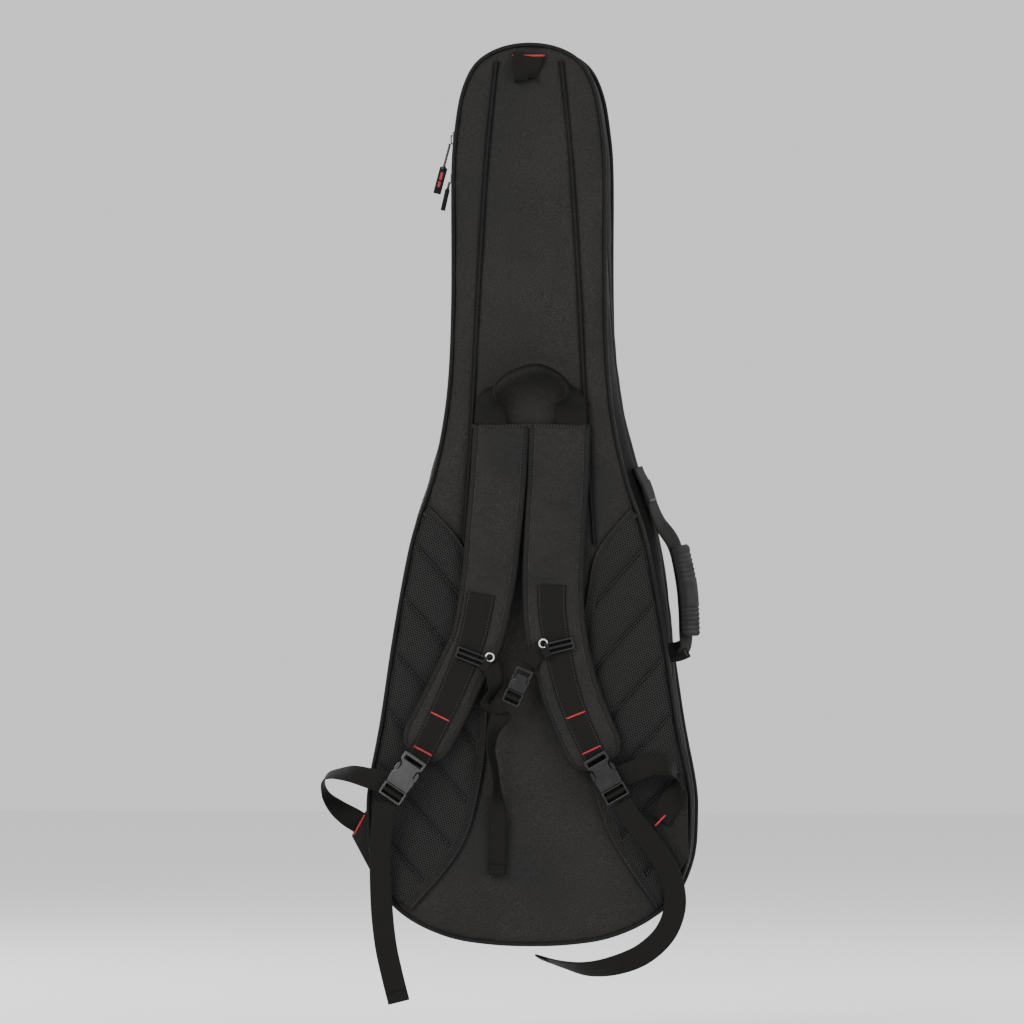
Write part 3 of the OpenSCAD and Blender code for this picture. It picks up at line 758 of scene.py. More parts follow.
def make_main_zip():
    """Each half of the main zip: a woven tape with its row of coil loops."""
    for name, node, body, y0, y1, tooth in (("main_zip_tape_back", "main_zip_back", "tray", 39.4, 46.2, 1),
                                            ("main_zip_tape_front", "main_zip_front", "lid", 56.6, 49.8, -1)):
        profile = [(y0, -1.4), ((y0 + y1) / 2, -0.9), (y1, -1.2), (y1, -2.4), ((y0 + y1) / 2, -2.6), (y0, -2.8)]
        obj = ring_loft(name, profile, 4.0, [zip_tape], 6)
        settle(obj, body, "zip", node)
        ring, out = closed_edge(2.8, -1.3)
        parts = []
        for i in range(0 if tooth > 0 else 1, len(ring)):
            x, z = ring[i] + (ring[(i + 1) % len(ring)] - ring[i]) * (0.5 if tooth < 0 else 0)
            lean = side_lean(height(z), x) * MM
            x, z = x + out[i][0] * lean, z + out[i][1] * lean
            start = (x, BACK_Y + (y1 - tooth * 0.6) * MM, z)
            tip = (x, BACK_Y + (48 + tooth * 0.5) * MM, z)
            parts.append(capsule(start, tip, 0.85 * MM, 4))
        assembled(name.replace("tape", "coil"), parts, coil_plastic, body, "zip")


def make_guard_and_spine():
    """The moulded guard under the bottom edge, and the cloth hinge of the lid."""
    ring, out = closed_edge(3.0)

    def sector(keep, profile):
        idx = [i for i in range(len(ring)) if keep(ring[i])]
        start = next((k for k in range(1, len(idx)) if idx[k] != idx[k - 1] + 1), 0)
        idx = idx[start:] + idx[:start]
        verts = []
        for a, i in enumerate(idx):
            fade = min(a, len(idx) - 1 - a, 5) / 5
            for y, grow in profile:
                p = ring[i] + out[i] * (grow * (0.55 + 0.45 * fade) + side_swell(height(ring[i][1])) * 0.75) * MM
                verts.append((p[0], BACK_Y + y * MM, p[1]))
        return verts, tunnel(len(idx), len(profile))

    guard = [(4, -0.4), (5, 0.9), (9, 1.6), (20, 2.0), (31, 1.6), (35, 0.9), (36, -0.4), (20, -1.8)]
    verts, faces = sector(lambda p: p[1] - BASE < 17 * MM, guard)
    ribs = []
    for y in (12, 16, 20, 24, 28):
        bed = [(x, BACK_Y + y * MM, z - 2.2 * MM) for x, z in ring if z - BASE < 13 * MM]
        bed = sorted(bed)
        ribs.append(tube_mesh([bed[i] for i in range(0, len(bed), 2)], 0.9 * MM, 6))
    assembled("bottom_guard", [(verts, faces)] + ribs, guard_rubber, "tray", "rubber", "base_guard")
    strip = [(36, -0.2), (42, 1.4), (48, 2.2), (54, 1.4), (60, -0.2), (60, -1.4), (48, 0.9), (36, -1.4)]
    low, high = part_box("spine_strip")[0].z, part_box("spine_strip")[1].z
    verts, faces = sector(lambda p: p[0] > 0 and low < p[1] < high, strip)
    obj = fix_normals(mesh_piece("cloth_hinge", verts, faces, side_cloth))
    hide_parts("spine_strip")
    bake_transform(obj)


def make_linings():
    """Plush faces inside both halves."""
    xz, quads, n = panel_grid(7.0, 7.6)
    bumps = np.array([wrinkle(x, z, 16, 5.0) for x, z in xz]) * 0.5 * MM
    inner = BACK_Y + 11.4 * MM + bumps
    obj = slab_piece("back_plush", xz, quads, n, inner, np.full(len(xz), BACK_Y + 9.9 * MM), plush)
    settle(obj, "tray", "plush", "back_lining", fill=0.5)
    far = CASE_Y - 10 * MM
    obj = slab_piece("front_plush", xz, quads, n, far - bumps, np.full(len(xz), far + 1.4 * MM), plush)
    settle(obj, "lid", "plush", "front_lining", fill=0.5)


def make_front_skin():
    xz, quads, n = panel_grid(4.5, 0.5)
    to_edge = np.array([edge_distance(x, z) for x, z in xz])
    folds = np.array([wrinkle(x, z, 10, 13.0) + 0.5 * wrinkle(x * 2, z, 24, 4.0) for x, z in xz])
    lift = 4.5 * (1 - np.exp(-to_edge / (10 * MM))) + 0.8 * folds - 1.5
    obj = slab_piece("front_skin", xz, quads, n, CASE_Y + lift * MM, np.full(len(xz), CASE_Y - 8.4 * MM), cloth)
    settle(obj, "lid", "cloth", "front_panel", fill=0.7)


# ---------------------------------------------------------------- front pockets

def pocket_grid(low_mm, high_mm, inset_mm, corner_mm, step_mm):
    """A grid over the part of the outline between two heights, with rounded corners, and its border."""
    h = half_edge(2.0)[::-1]
    heights = np.linspace(low_mm, high_mm, int((high_mm - low_mm) / step_mm) + 1)
    ends = np.array([0.15, 0.6, 1.4, 2.6])
    heights = np.unique(np.concatenate([heights, low_mm + ends, high_mm - ends]))
    half = np.interp(heights * MM + BASE, h[:, 1], h[:, 0]) / MM - inset_mm
    near = np.minimum(heights - low_mm, high_mm - heights)
    gap = np.clip(corner_mm - near, 0, corner_mm)
    half = half - corner_mm + np.sqrt(corner_mm ** 2 - gap ** 2)
    across = int(2 * half.max() / step_mm) // 2 * 2
    span = np.sin(np.linspace(-1, 1, across + 1) * math.pi / 2)
    span = 0.35 * span + 0.65 * np.linspace(-1, 1, across + 1)
    xz = np.array([(w * s * MM, BASE + z * MM) for z, w in zip(heights, half) for s in span])
    quads = grid_quads(len(heights) - 1, across)
    right = [(w * MM, BASE + z * MM) for z, w in zip(heights, half)]
    border = np.array(right + [(-x, z) for x, z in reversed(right)])
    return xz, quads, across + 1, border


def make_pocket(name, node, low, high, corner, shallow, step, zip_h, zip_half_mm, seed):
    """A gusseted pocket, shallower above step, with a piped edge and a coil zip across its upper part."""
    deep = (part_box(node)[1].y - CASE_Y) / MM
    xz, quads, n, border = pocket_grid(low, high, 12, corner, 5.0)
    loop = np.vstack([border, border[:1]])
    d = path_distance(xz, loop)
    high_mm = height(xz[:, 1])
    step_up = np.clip((step + 6 - high_mm) / 34, 0, 1)
    depth = shallow + (deep - shallow) * step_up * step_up * (3 - 2 * step_up)
    zip_z = BASE + zip_h * MM
    groove = 1.6 * np.exp(-((xz[:, 1] - zip_z) / (9 * MM)) ** 4) * (np.abs(xz[:, 0]) < (zip_half_mm + 6) * MM)
    crown = 2.4 * (1 - np.exp(-d / (45 * MM))) * (high_mm < step)
    folds = np.array([wrinkle(x, z, 12, seed) + 0.6 * wrinkle(x, z * 2.2, 20, seed + 2) for x, z in xz])
    calm = np.clip(np.abs(high_mm - zip_h) / 30, 0.15, 1)
    folds = 1.3 * folds * calm * np.tanh(d / (15 * MM))
    y = CASE_Y + (depth * np.tanh(d / (6.5 * MM)) ** 0.7 + crown + folds - groove) * MM
    obj = slab_piece(name, xz, quads, n, y, np.full(len(xz), CASE_Y + 0.5 * MM), cloth)
    settle(obj, "lid", "cloth", node, fill=0.4)
    centre = loop.mean(0)
    edge = []
    for p in border:
        q = p + unit(centre - p) * 3.5 * MM
        t = min(max((step + 6 - height(p[1])) / 34, 0), 1)
        edge.append((q[0], CASE_Y + (shallow + (deep - shallow) * t * t * (3 - 2 * t) - 2.6) * MM, q[1]))
    verts, faces = tube_mesh(even_path(edge + edge[:1], 3 * MM)[:-1], 2.0 * MM, 8, 1.0, (0, 1, 0), True)
    cord = fix_normals(mesh_piece(name + "_piping", verts, faces, piping_cloth))
    settle(cord, "lid", "trim_cloth")
    face_y = CASE_Y + (shallow - 0.9) * MM
    line = np.array([(x * MM, face_y, zip_z) for x in np.linspace(-zip_half_mm, zip_half_mm, 40)])
    tape = band(name + "_zip_tape", line, 22, 1.2, zip_tape, [FORWARD])
    teeth = []
    for i, x in enumerate(np.arange(-zip_half_mm + 2, zip_half_mm, 1.6)):
        s = 1 if i % 2 else -1
        teeth.append(capsule((x * MM, face_y + 0.9 * MM, zip_z + s * 2.6 * MM),
                             (x * MM, face_y + 0.9 * MM, zip_z - s * 0.4 * MM), 0.7 * MM, 4))
    coil = join_parts(name + "_zip_coil", teeth, coil_plastic)
    for piece in (tape, coil):
        settle(piece, "lid", "zip")


# ---------------------------------------------------------------- back pads

PAD_STEP = 77
PAD_SLOPE = 1.14
PAD_TOP = {-1: 472, 1: 466}


def make_mesh_pad(side, name, node, line):
    """A foam pad under spacer mesh, pinned down along sewn diagonal channels."""
    h = half_edge(2.0)[::-1]
    inner = line[np.argsort(line[:, 1])]
    low, high = inner[0, 1] + 3 * MM, inner[-1, 1] - 4 * MM
    heights = np.linspace(low, high, 210)
    outer_x = np.interp(heights, h[:, 1], h[:, 0]) - 2.5 * MM
    inner_x = np.abs(np.interp(heights, inner[:, 1], inner[:, 0])) + 4 * MM
    inner_x = np.minimum(inner_x, outer_x - 2 * MM)
    across = 56
    xz = np.array([(side * (a + (b - a) * k / across), z)
                   for z, a, b in zip(heights, inner_x, outer_x) for k in range(across + 1)])
    n = across + 1
    quads = grid_quads(len(heights) - 1, across)
    border = np.vstack([np.column_stack([side * outer_x, heights]), np.column_stack([side * inner_x, heights])[::-1]])
    border = np.vstack([border, border[:1]])
    channel = np.full(len(xz), 1.0)
    for k in range(6):
        c = PAD_TOP[side] - PAD_STEP * k
        ends = [(side * x * MM, BASE + (c + PAD_SLOPE * (x - 134)) * MM) for x in (30, 200)]
        channel = np.minimum(channel, path_distance(xz, np.array(ends)))
    to_edge = path_distance(xz, border)
    under = np.array([panel_height(x, z) for x, z in xz]) / MM
    free = np.clip(np.minimum(to_edge - 2.5 * MM, channel - 2.2 * MM) / (6 * MM), 0, 1)
    soft = 1 - np.exp(-np.minimum(to_edge, np.maximum(channel - 1.2 * MM, 0)) / (5.0 * MM))
    folds = np.array([wrinkle(x, z, 30, 2.0 + side) for x, z in xz])
    lift = under + 0.2 + 5.2 * soft + 0.4 * folds * soft
    obj = slab_piece(name, xz, quads, n, BACK_Y - lift * MM, np.full(len(xz), BACK_Y + 1.5 * MM), air)
    spot = KDTree(len(xz))
    for i, (x, z) in enumerate(xz):
        spot.insert((x, 0, z), i)
    spot.balance()
    keep = []
    for v in obj.data.vertices:
        i = spot.find((v.co.x, 0, v.co.z))[1]
        keep.append(1.0 if v.co.y > BACK_Y + 1 * MM else 1 - free[i] ** 0.7)
    puff(obj, keep, pressure=5.0, cap_mm=2.6, stiffness=6.0)
    subdivide(obj)
    settle(obj, "tray", "mesh", node, fill=0.7)
    parts, channel_shadow_cords = [], []
    for k in range(6):
        c = PAD_TOP[side] - PAD_STEP * k
        dense = np.array([(x, c + PAD_SLOPE * (x - 134)) for x in np.linspace(40, 195, 120)])
        x_out = np.interp(dense[:, 1] * MM + BASE, h[:, 1], h[:, 0]) / MM - 5
        x_in = np.abs(np.interp(dense[:, 1] * MM + BASE, inner[:, 1], inner[:, 0])) / MM + 8
        z = dense[:, 1] * MM + BASE
        dense = dense[(dense[:, 0] < x_out) & (dense[:, 0] > x_in) & (z > low) & (z < high)]
        if len(dense) < 12:
            continue
        track = [(side * x * MM, BACK_Y - panel_height(x * MM, BASE + z * MM) - 0.9 * MM, BASE + z * MM)
                 for x, z in dense]
        # A thin dark cord in the bottom of each channel, under the puffed mesh: a painted shadow line along the
        # channel.
        channel_shadow_cords.append(tube_mesh(track, 1.0 * MM, 8))
        parts += stitches(np.array(track), (0, -0.9 * MM, 0), 4.0, 2.9, 0.35)
    cord = join_parts(name + "_painted_channel_shadow", channel_shadow_cords, piping_cloth)
    sewn = join_parts(name + "_stitching", parts, dark_thread)
    for piece in (cord, sewn):
        settle(piece, "tray", "trim_cloth")


def make_pad_binding(name, node, edge, side):
    """Folded tape that covers the inner border of a mesh pad, with a stitch line near each edge."""
    shifted = [(x + side * 5.5, -3.8, h - (4 if h > 464 else 0)) for x, y, h in edge]
    path = route(shifted, 3.0)
    h = half_edge(2.0)[::-1]
    path = np.array([p for p in path if abs(p[0]) < np.interp(p[2], h[:, 1], h[:, 0]) - 1 * MM])
    lift = np.array([panel_height(p[0], p[2]) for p in path])
    path[:, 1] = BACK_Y - lift - 1.5 * MM
    obj = band(name, path, 12, 2.6, binding, [BACKWARD], 0.25, 10, 4.0)
    parts = []
    for s in (-4.4, 4.4):
        parts += stitches(path + sideways(path) * s * MM, (0, -1.35 * MM, 0), 3.8, 2.6, 0.28)
    sewn = join_parts(name + "_stitching", parts, dark_thread)
    for piece in (obj, sewn):
        settle(piece, "tray", "trim_cloth")
    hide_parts(node)


# ---------------------------------------------------------------- routes shared with the part's source

LEFT_STRAP = [(-32, -11, 605), (-34.5, -11, 560), (-37.5, -13, 520), (-41.5, -16, 475), (-46, -17, 430),
              (-58, -17, 367), (-74, -17, 330), (-98, -17, 281), (-127, -17, 226)]
LEFT_STRAP_WIDTHS = (64, 64, 64, 63, 62, 59, 58, 58, 58)
RIGHT_STRAP = [(37, -11, 605), (35.5, -11, 550), (32.5, -13, 500), (30, -16, 445), (30.5, -17, 395), (35, -17, 355),
               (46, -17, 312), (61, -17, 270), (85, -17, 216)]
RIGHT_STRAP_WIDTHS = (70, 70, 70, 70, 70, 70, 67, 66, 66)
LEFT_WEBBING = [(-54, -23.9, 414), (-63, -23.9, 367), (-76, -23.9, 330), (-97, -23.9, 281), (-119, -23.9, 237),
                (-131, -23.9, 214)]
RIGHT_WEBBING = [(29, -23.9, 424), (29, -23.9, 395), (35, -23.9, 355), (44, -23.9, 312), (58, -23.9, 270),
                 (78, -23.9, 226), (87, -23.9, 207)]
BUCKLE_Y = -31.2
UNDER_Y = BUCKLE_Y + 5.5 + 1.6
LEFT_BUCKLE, LEFT_TILT = (-130, BUCKLE_Y, 221), 34
RIGHT_BUCKLE, RIGHT_TILT = (80, BUCKLE_Y, 223), -30
LEFT_LOOP = [(-148, UNDER_Y, 190), (-180, -20.5, 196), (-212, -17, 203), (-238, -4, 199), (-243, 9, 180),
             (-226, 11, 160), (-201.5, 11, 144)]
LEFT_LOOP_LOOKS = [BACKWARD, (0, -0.9, 0.3), (0, -0.75, 0.65), (-0.4, -0.25, 0.85), (-1, 0.1, -0.1), (-0.5, 0.75, -0.4),
                   FORWARD]
RIGHT_LOOP = [(97, UNDER_Y, 194), (124, -23, 206), (148, -22, 214), (168, -23.5, 209), (176, -22, 193),
              (168, -15, 172), (154.5, -13, 149)]
RIGHT_LOOP_LOOKS = [BACKWARD, BACKWARD, (0.1, -1, 0.3), (0.8, -0.8, 0.4), (1, 0.6, 0), FORWARD, FORWARD]
LEFT_TAIL = [(-165, -31, 169), (-169, -31, 151), (-172, -26, 122), (-173, -19, 82), (-172, -13, 40), (-168, -8, 0),
             (-161, -5, -34), (-153, -4, -66)]
RIGHT_TAIL = [(111, -31, 171), (122, -31, 153), (140, -27, 130), (158, -22, 104), (170, -17, 76), (172, -13, 46),
              (160, -9, 16), (134, -5, -8), (100, 4, -22), (66, 16, -27), (34, 28, -22), (8, 38, -14)]
RIGHT_TAIL_LOOKS = [BACKWARD] * 7 + [(0.1, -1, -0.2), (0.1, -1, -0.5), (0, -0.8, -0.8), (0, -0.5, -1), (0, -0.3, -1)]
CHEST_Y = -28
CHEST_LOOP = [(-42, CHEST_Y, 331), (-38, CHEST_Y, 317), (-39, CHEST_Y, 302), (-45, -28.5, 290), (-44, -29, 281.5),
              (-36, -30, 281), (-28, -30, 285)]
CHEST_LOOP_LOOKS = [BACKWARD, (0.35, -0.95, 0.1), (0.5, -0.85, 0), (0.95, -0.5, -0.3), (0.3, -0.6, -0.8),
                    (-0.3, -0.75, -0.5), (-0.2, -0.95, -0.2)]
CHEST_LINK = [(2, -24.8, 330), (7, -24.8, 338), (17, -25.2, 352)]
CHEST_TAIL = [(-25, CHEST_Y + 5, 277), (-38, -23, 258), (-43, -21, 232), (-38, -18, 204), (-36, -14, 160),
              (-36, -10, 120), (-37, -7, 84)]
CHEST_TAIL_LOOKS = [BACKWARD, (0.8, -0.6, 0), (0.95, -0.35, 0), (0.9, -0.4, 0), BACKWARD, BACKWARD, BACKWARD]
CHEST_BUCKLE, CHEST_TILT = (-2, CHEST_Y, 325), 24
GRAB = [(-45, -8, 616), (-44, -13, 630), (-41, -22.5, 650), (-28, -23, 668), (8, -24, 681), (38, -23, 669),
        (50, -22.5, 650), (50, -13, 630), (49.5, -8, 616)]
GRAB_LOOKS = [BACKWARD, (-0.25, -1, 0.05), (-1, -0.15, 0.45), (-0.6, -0.1, 0.8), (0, -0.1, 1), (0.6, -0.1, 0.8),
              (1, -0.15, 0.45), (0.25, -1, 0.05), BACKWARD]
GRAB_WIDTHS = (37, 36, 25, 22, 21, 22, 25, 36, 37)
HANDLE_Y = 24
HANDLE = [(134.5, HANDLE_Y, 546), (139.5, HANDLE_Y, 533), (144, HANDLE_Y, 517), (152, HANDLE_Y, 497),
          (169, HANDLE_Y, 470), (178, HANDLE_Y, 430), (181.5, HANDLE_Y, 395), (182.5, HANDLE_Y, 364),
          (182, HANDLE_Y, 351), (177, HANDLE_Y, 343)]
HANDLE_LOOK = (0.87, -0.5, 0)
TAB_LOOK = (0.95, -0.3, 0)
HANDLE_LOOKS = [TAB_LOOK, TAB_LOOK, (0.92, -0.4, 0)] + [HANDLE_LOOK] * 6 + [TAB_LOOK]


# ---------------------------------------------------------------- shoulder straps

def make_strap(side_name, points, widths, seed):
    """A padded strap: cloth over foam, bound all round its edge, with puckers and soft folds."""
    path = route([(points[0][0], points[0][1], points[0][2] + 5)] + points[1:], 4.0)
    n = len(path)
    path[:, 1] += 4.2 * MM * np.clip(1 - np.arange(n) * 4.0 / 48, 0, 1) ** 2
    length = 4.0 * (n - 1)
    levels = [BASE + p[2] * MM for p in reversed(points)]
    halves = np.interp(path[:, 2], levels, widths[::-1]) / 2 - 3
    round_end = 24.0
    across = 14
    verts, keep = [], []
    rims = {-1: [], 1: []}
    for face in (1, -1):
        for i in range(n):
            along = unit(path[min(i + 1, n - 1)] - path[max(i - 1, 0)])
            side = unit(np.cross(along, np.array(BACKWARD, float)))
            up = np.cross(side, along)
            left = length - i * 4.0
            half = halves[i]
            turn = max(round_end - left, 0) / round_end
            w = half - 17 * (1 - math.sqrt(max(1 - turn ** 2, 0)))
            full = min(1, 0.1 + i * 4.0 / 45) * min(1, 0.5 + left / 30)
            for k in range(across + 1):
                u = -1 + 2 * k / across
                bulge = (1 - abs(u) ** 3) ** 0.6 * 4.6 * full + 1.2
                fold = wrinkle(u * 0.022 + i * 0.0025, i * 0.004, 34, seed)
                diagonal = perlin(Vector((u * 0.9 + i * 0.16, i * 0.42, seed + 3)))
                ripple = perlin(Vector((u * 0.8 + i * 0.07, i * 0.36, seed + 7)))
                creases = (0.9 * fold + 1.1 * diagonal + 1.5 * ripple) * (1 - u * u)
                creases *= (2.2 if 20 < i * 4.0 < 190 else 0.6) if face > 0 else 0
                verts.append(path[i] + (side * u * w + up * face * (bulge + creases)) * MM)
                keep.append(1.0 if k in (0, across) or i in (0, n - 1) else 0.0)
            if face > 0:
                rims[-1].append(path[i] - side * w * MM)
                rims[1].append(path[i] + side * w * MM)
    m = across + 1
    faces = slab_faces(grid_quads(n - 1, across), m, n * m)
    obj = fix_normals(mesh_piece(side_name + "_strap_pad", verts, faces, cloth))
    puff(obj, keep, pressure=6.0, cap_mm=2.2, shrink=-0.02, stiffness=6.0)
    subdivide(obj)
    under_webbing = BACK_Y - 22.95 * MM
    for v in obj.data.vertices:
        if v.co.z < BASE + 432 * MM:
            v.co.y = max(v.co.y, under_webbing)
    body = side_name + "_strap"
    settle(obj, body, "cloth", side_name + "_shoulder_strap", fill=0.75)
    loop = smooth_path(rims[-1] + rims[1][::-1], 2)
    loop = even_path(loop, 3.0 * MM)
    verts, faces = tube_mesh(loop, 4.3 * MM, 12, 0.72)
    edge = join_parts(side_name + "_strap_binding", [(verts, faces)], binding)
    centre = np.array([path[np.argmin(np.linalg.norm(path - p, axis=1))] for p in loop])
    inward = centre - loop
    inward /= np.maximum(np.linalg.norm(inward, axis=1, keepdims=True), 1e-9)
    parts = stitches(loop + inward * 3.0 * MM, (0, -3.1 * MM, 0), 4.0, 2.8, 0.3)
    sewn = join_parts(side_name + "_strap_stitching", parts, dark_thread)
    for piece in (edge, sewn):
        settle(piece, body, "trim_cloth")


def make_strap_webbing(side_name, points, tacks, seed):
    """Load webbing sewn on a strap, looped through the buckle's bar, with its bartacks."""
    path = route(points, 3.0)
    body = side_name + "_strap"
    obj = band(side_name + "_load_webbing", path, (33, 25), 1.7, webbing, [BACKWARD], 0.3, 8, seed)
    settle(obj, body, "webbing", side_name + "_strap_webbing")
    parts = []
    for high in tacks:
        i = int(np.argmin(np.abs(path[:, 2] - (BASE + high * MM))))
        along = unit(path[min(i + 1, len(path) - 1)] - path[max(i - 1, 0)])
        across = np.cross(along, np.array(BACKWARD, float))
        parts += bartack(path[i] + np.array([0, -1.2 * MM, 0]), across, BACKWARD, 23)
    assembled(side_name + "_bartacks", parts, red_thread, body, "webbing")
    parts = []
    for s in (-0.87, 0.87):
        half = s * np.linspace(33, 25, len(path))[:, None] / 2
        parts += stitches(path + sideways(path) * half * MM, (0, -0.95 * MM, 0), 3.6, 2.6, 0.26)
    assembled(side_name + "_webbing_stitching", parts, dark_thread, body, "webbing")


# ---------------------------------------------------------------- moulded plates and buckles

def loop_points(corners, radius, sides=5):
    """A closed loop with its corners rounded. A corner may give its own radius as a third number."""
    out = []
    c = [np.array(q[:2], float) for q in corners]
    for i, q in enumerate(corners):
        r = q[2] if len(q) > 2 else radius
        a, b, d = c[i - 1], c[i], c[(i + 1) % len(c)]
        u, v = unit(a - b), unit(d - b)
        half = math.acos(max(-1, min(1, float(u @ v)))) / 2
        cut = min(r / max(math.tan(half), 1e-3), np.linalg.norm(a - b) * 0.49, np.linalg.norm(d - b) * 0.49)
        for k in range(sides + 1):
            t = k / sides
            out.append((1 - t) ** 2 * (b + u * cut) + 2 * t * (1 - t) * b + t * t * (b + v * cut))
    return np.array(out)


def plate(loops, thick_mm, bevel_mm, place, tilt=0.0, centre_y=0.0):
    """A moulded plate from an outer loop and its holes, as vertices and faces. Loops are x and z in mm."""
    curve = bpy.data.curves.new("plate", "CURVE")
    curve.dimensions = "2D"
    curve.fill_mode = "BOTH"
    curve.extrude = max(thick_mm / 2 - bevel_mm, 0.05)
    curve.bevel_depth = bevel_mm
    curve.bevel_resolution = 2
    curve.offset = -bevel_mm
    for loop in loops:
        spline = curve.splines.new("POLY")
        spline.points.add(len(loop) - 1)
        for point, (x, z) in zip(spline.points, loop):
            point.co = (x, z, 0, 1)
        spline.use_cyclic_u = True
    holder = bpy.data.objects.new("plate", curve)
    bpy.context.scene.collection.objects.link(holder)
    graph = bpy.context.evaluated_depsgraph_get()
    mesh = bpy.data.meshes.new_from_object(holder.evaluated_get(graph))
    bm = bmesh.new()
    bm.from_mesh(mesh)
    bmesh.ops.remove_doubles(bm, verts=bm.verts, dist=0.01)
    a = math.radians(tilt)
    p = at(place)
    verts = []
    for v in bm.verts:
        x, z, y = v.co.x, v.co.y, v.co.z + centre_y
        verts.append((p.x + (x * math.cos(a) + z * math.sin(a)) * MM, p.y + y * MM + BACK_Y,
                      p.z + (-x * math.sin(a) + z * math.cos(a)) * MM))
    faces = [tuple(v.index for v in f.verts) for f in bm.faces]
    bm.free()
    bpy.data.objects.remove(holder)
    bpy.data.curves.remove(curve)
    bpy.data.meshes.remove(mesh)
    return verts, faces


def moulding(name, parts, material, body, slot, *nodes, angle=40):
    """Joins parts into one piece, shaded smooth except at its sharp edges."""
    obj = join_parts(name, parts, material)
    obj.data.set_sharp_from_angle(angle=math.radians(angle))
    settle(obj, body, slot, *nodes)


def box_loop(x0, x1, z0, z1, radius=0.8):
    return loop_points([(x0, z0), (x1, z0), (x1, z1), (x0, z1)], radius)


def make_buckle(name, place, tilt, w, length, thick, plug_body, socket_body, material):
    """A side-release buckle. All its sizes follow from the width, the socket's length and the thickness."""
    h = w / 2
    outer = [(-h, 1.5), (h, 1.5), (h - 0.4, -9), (h * 0.66, -length * 0.33, 3), (h * 0.66, -length * 0.52, 3),
             (h, -length * 0.66, 2), (h * 0.95, -length), (-h * 0.95, -length), (-h, -length * 0.66, 2),
             (-h * 0.66, -length * 0.52, 3), (-h * 0.66, -length * 0.33, 3), (-h + 0.4, -9)]
    slot = box_loop(-h + 3.2, h - 3.2, -7.4, -2.2)
    panel = loop_points([(-h * 0.52, -length * 0.24), (h * 0.52, -length * 0.24), (h * 0.45, -length * 0.5),
                         (h * 0.66, -length * 0.72), (h * 0.62, -length * 0.93), (-h * 0.62, -length * 0.93),
                         (-h * 0.66, -length * 0.72), (-h * 0.45, -length * 0.5)], 2)
    parts = [plate([loop_points(outer, 1.6), slot], thick * 0.86, 1.3, place, tilt),
             plate([panel], thick * 0.98, 0.9, place, tilt)]
    moulding(name + "_socket", parts, material, socket_body, "plastic", name + "_socket")
    foot = length + 17
    ladder = loop_points([(-h, -length - 0.6), (h, -length - 0.6), (h, -foot + 1, 2.5), (h - 2, -foot), (-h + 2, -foot),
                          (-h, -foot + 1, 2.5)], 1.2)
    holes = [box_loop(-h + 2.6, h - 2.6, z, z + 4.4) for z in (-length - 7.0, -foot + 2.6)]
    parts = [plate([ladder] + holes, thick * 0.7, 1.1, place, tilt)]
    for s in (-1, 1):
        arm = loop_points([(s * h * 0.72, -length - 1), (s * h * 0.94, -length - 1), (s * h * 0.93, -length * 0.66),
                           (s * h * 1.02, -length * 0.55, 2), (s * h * 1.0, -length * 0.4, 2),
                           (s * h * 0.78, -length * 0.3, 1.5), (s * h * 0.72, -length * 0.42)], 0.8)
        parts.append(plate([arm], thick * 0.55, 0.8, place, tilt))
    parts.append(plate([box_loop(-h * 0.18, h * 0.18, -length - 1, -length * 0.45)], thick * 0.4, 0.5, place, tilt))
    for k in range(3):
        z = -foot + 1.3 + k * 0.1
        grip = box_loop(-h * 0.7, h * 0.7, z - 0.3, z + 0.3, 0.2)
        parts.append(plate([grip], thick * 0.74 - k * 0.4, 0.12, place, tilt))
    moulding(name + "_plug", parts, material, plug_body, "plastic", name + "_plug")
    weave = [(-length - 1, 1.5), (-length - 4.5, 1.2), (-length - 8.8, -thick * 0.35 - 0.6), (-length - 12.5, 0.6),
             (-length - 16, thick * 0.3 + 0.8)]
    path = route([place_in(place, tilt, 0, z, dy) for z, dy in weave], 1.0)
    threaded = band(name + "_threaded_webbing", path, w - 6.2, 1.5, webbing, [BACKWARD], 0.1, 8, 1.5)
    settle(threaded, plug_body, "webbing")


def place_in(place, tilt, x, z, dy=0.0):
    """A point of a tilted part's own plane, as x, y and height in mm."""
    a = math.radians(tilt)
    return (place[0] + x * math.cos(a) + z * math.sin(a), place[1] + dy, place[2] - x * math.sin(a) + z * math.cos(a))


# ---------------------------------------------------------------- chest strap

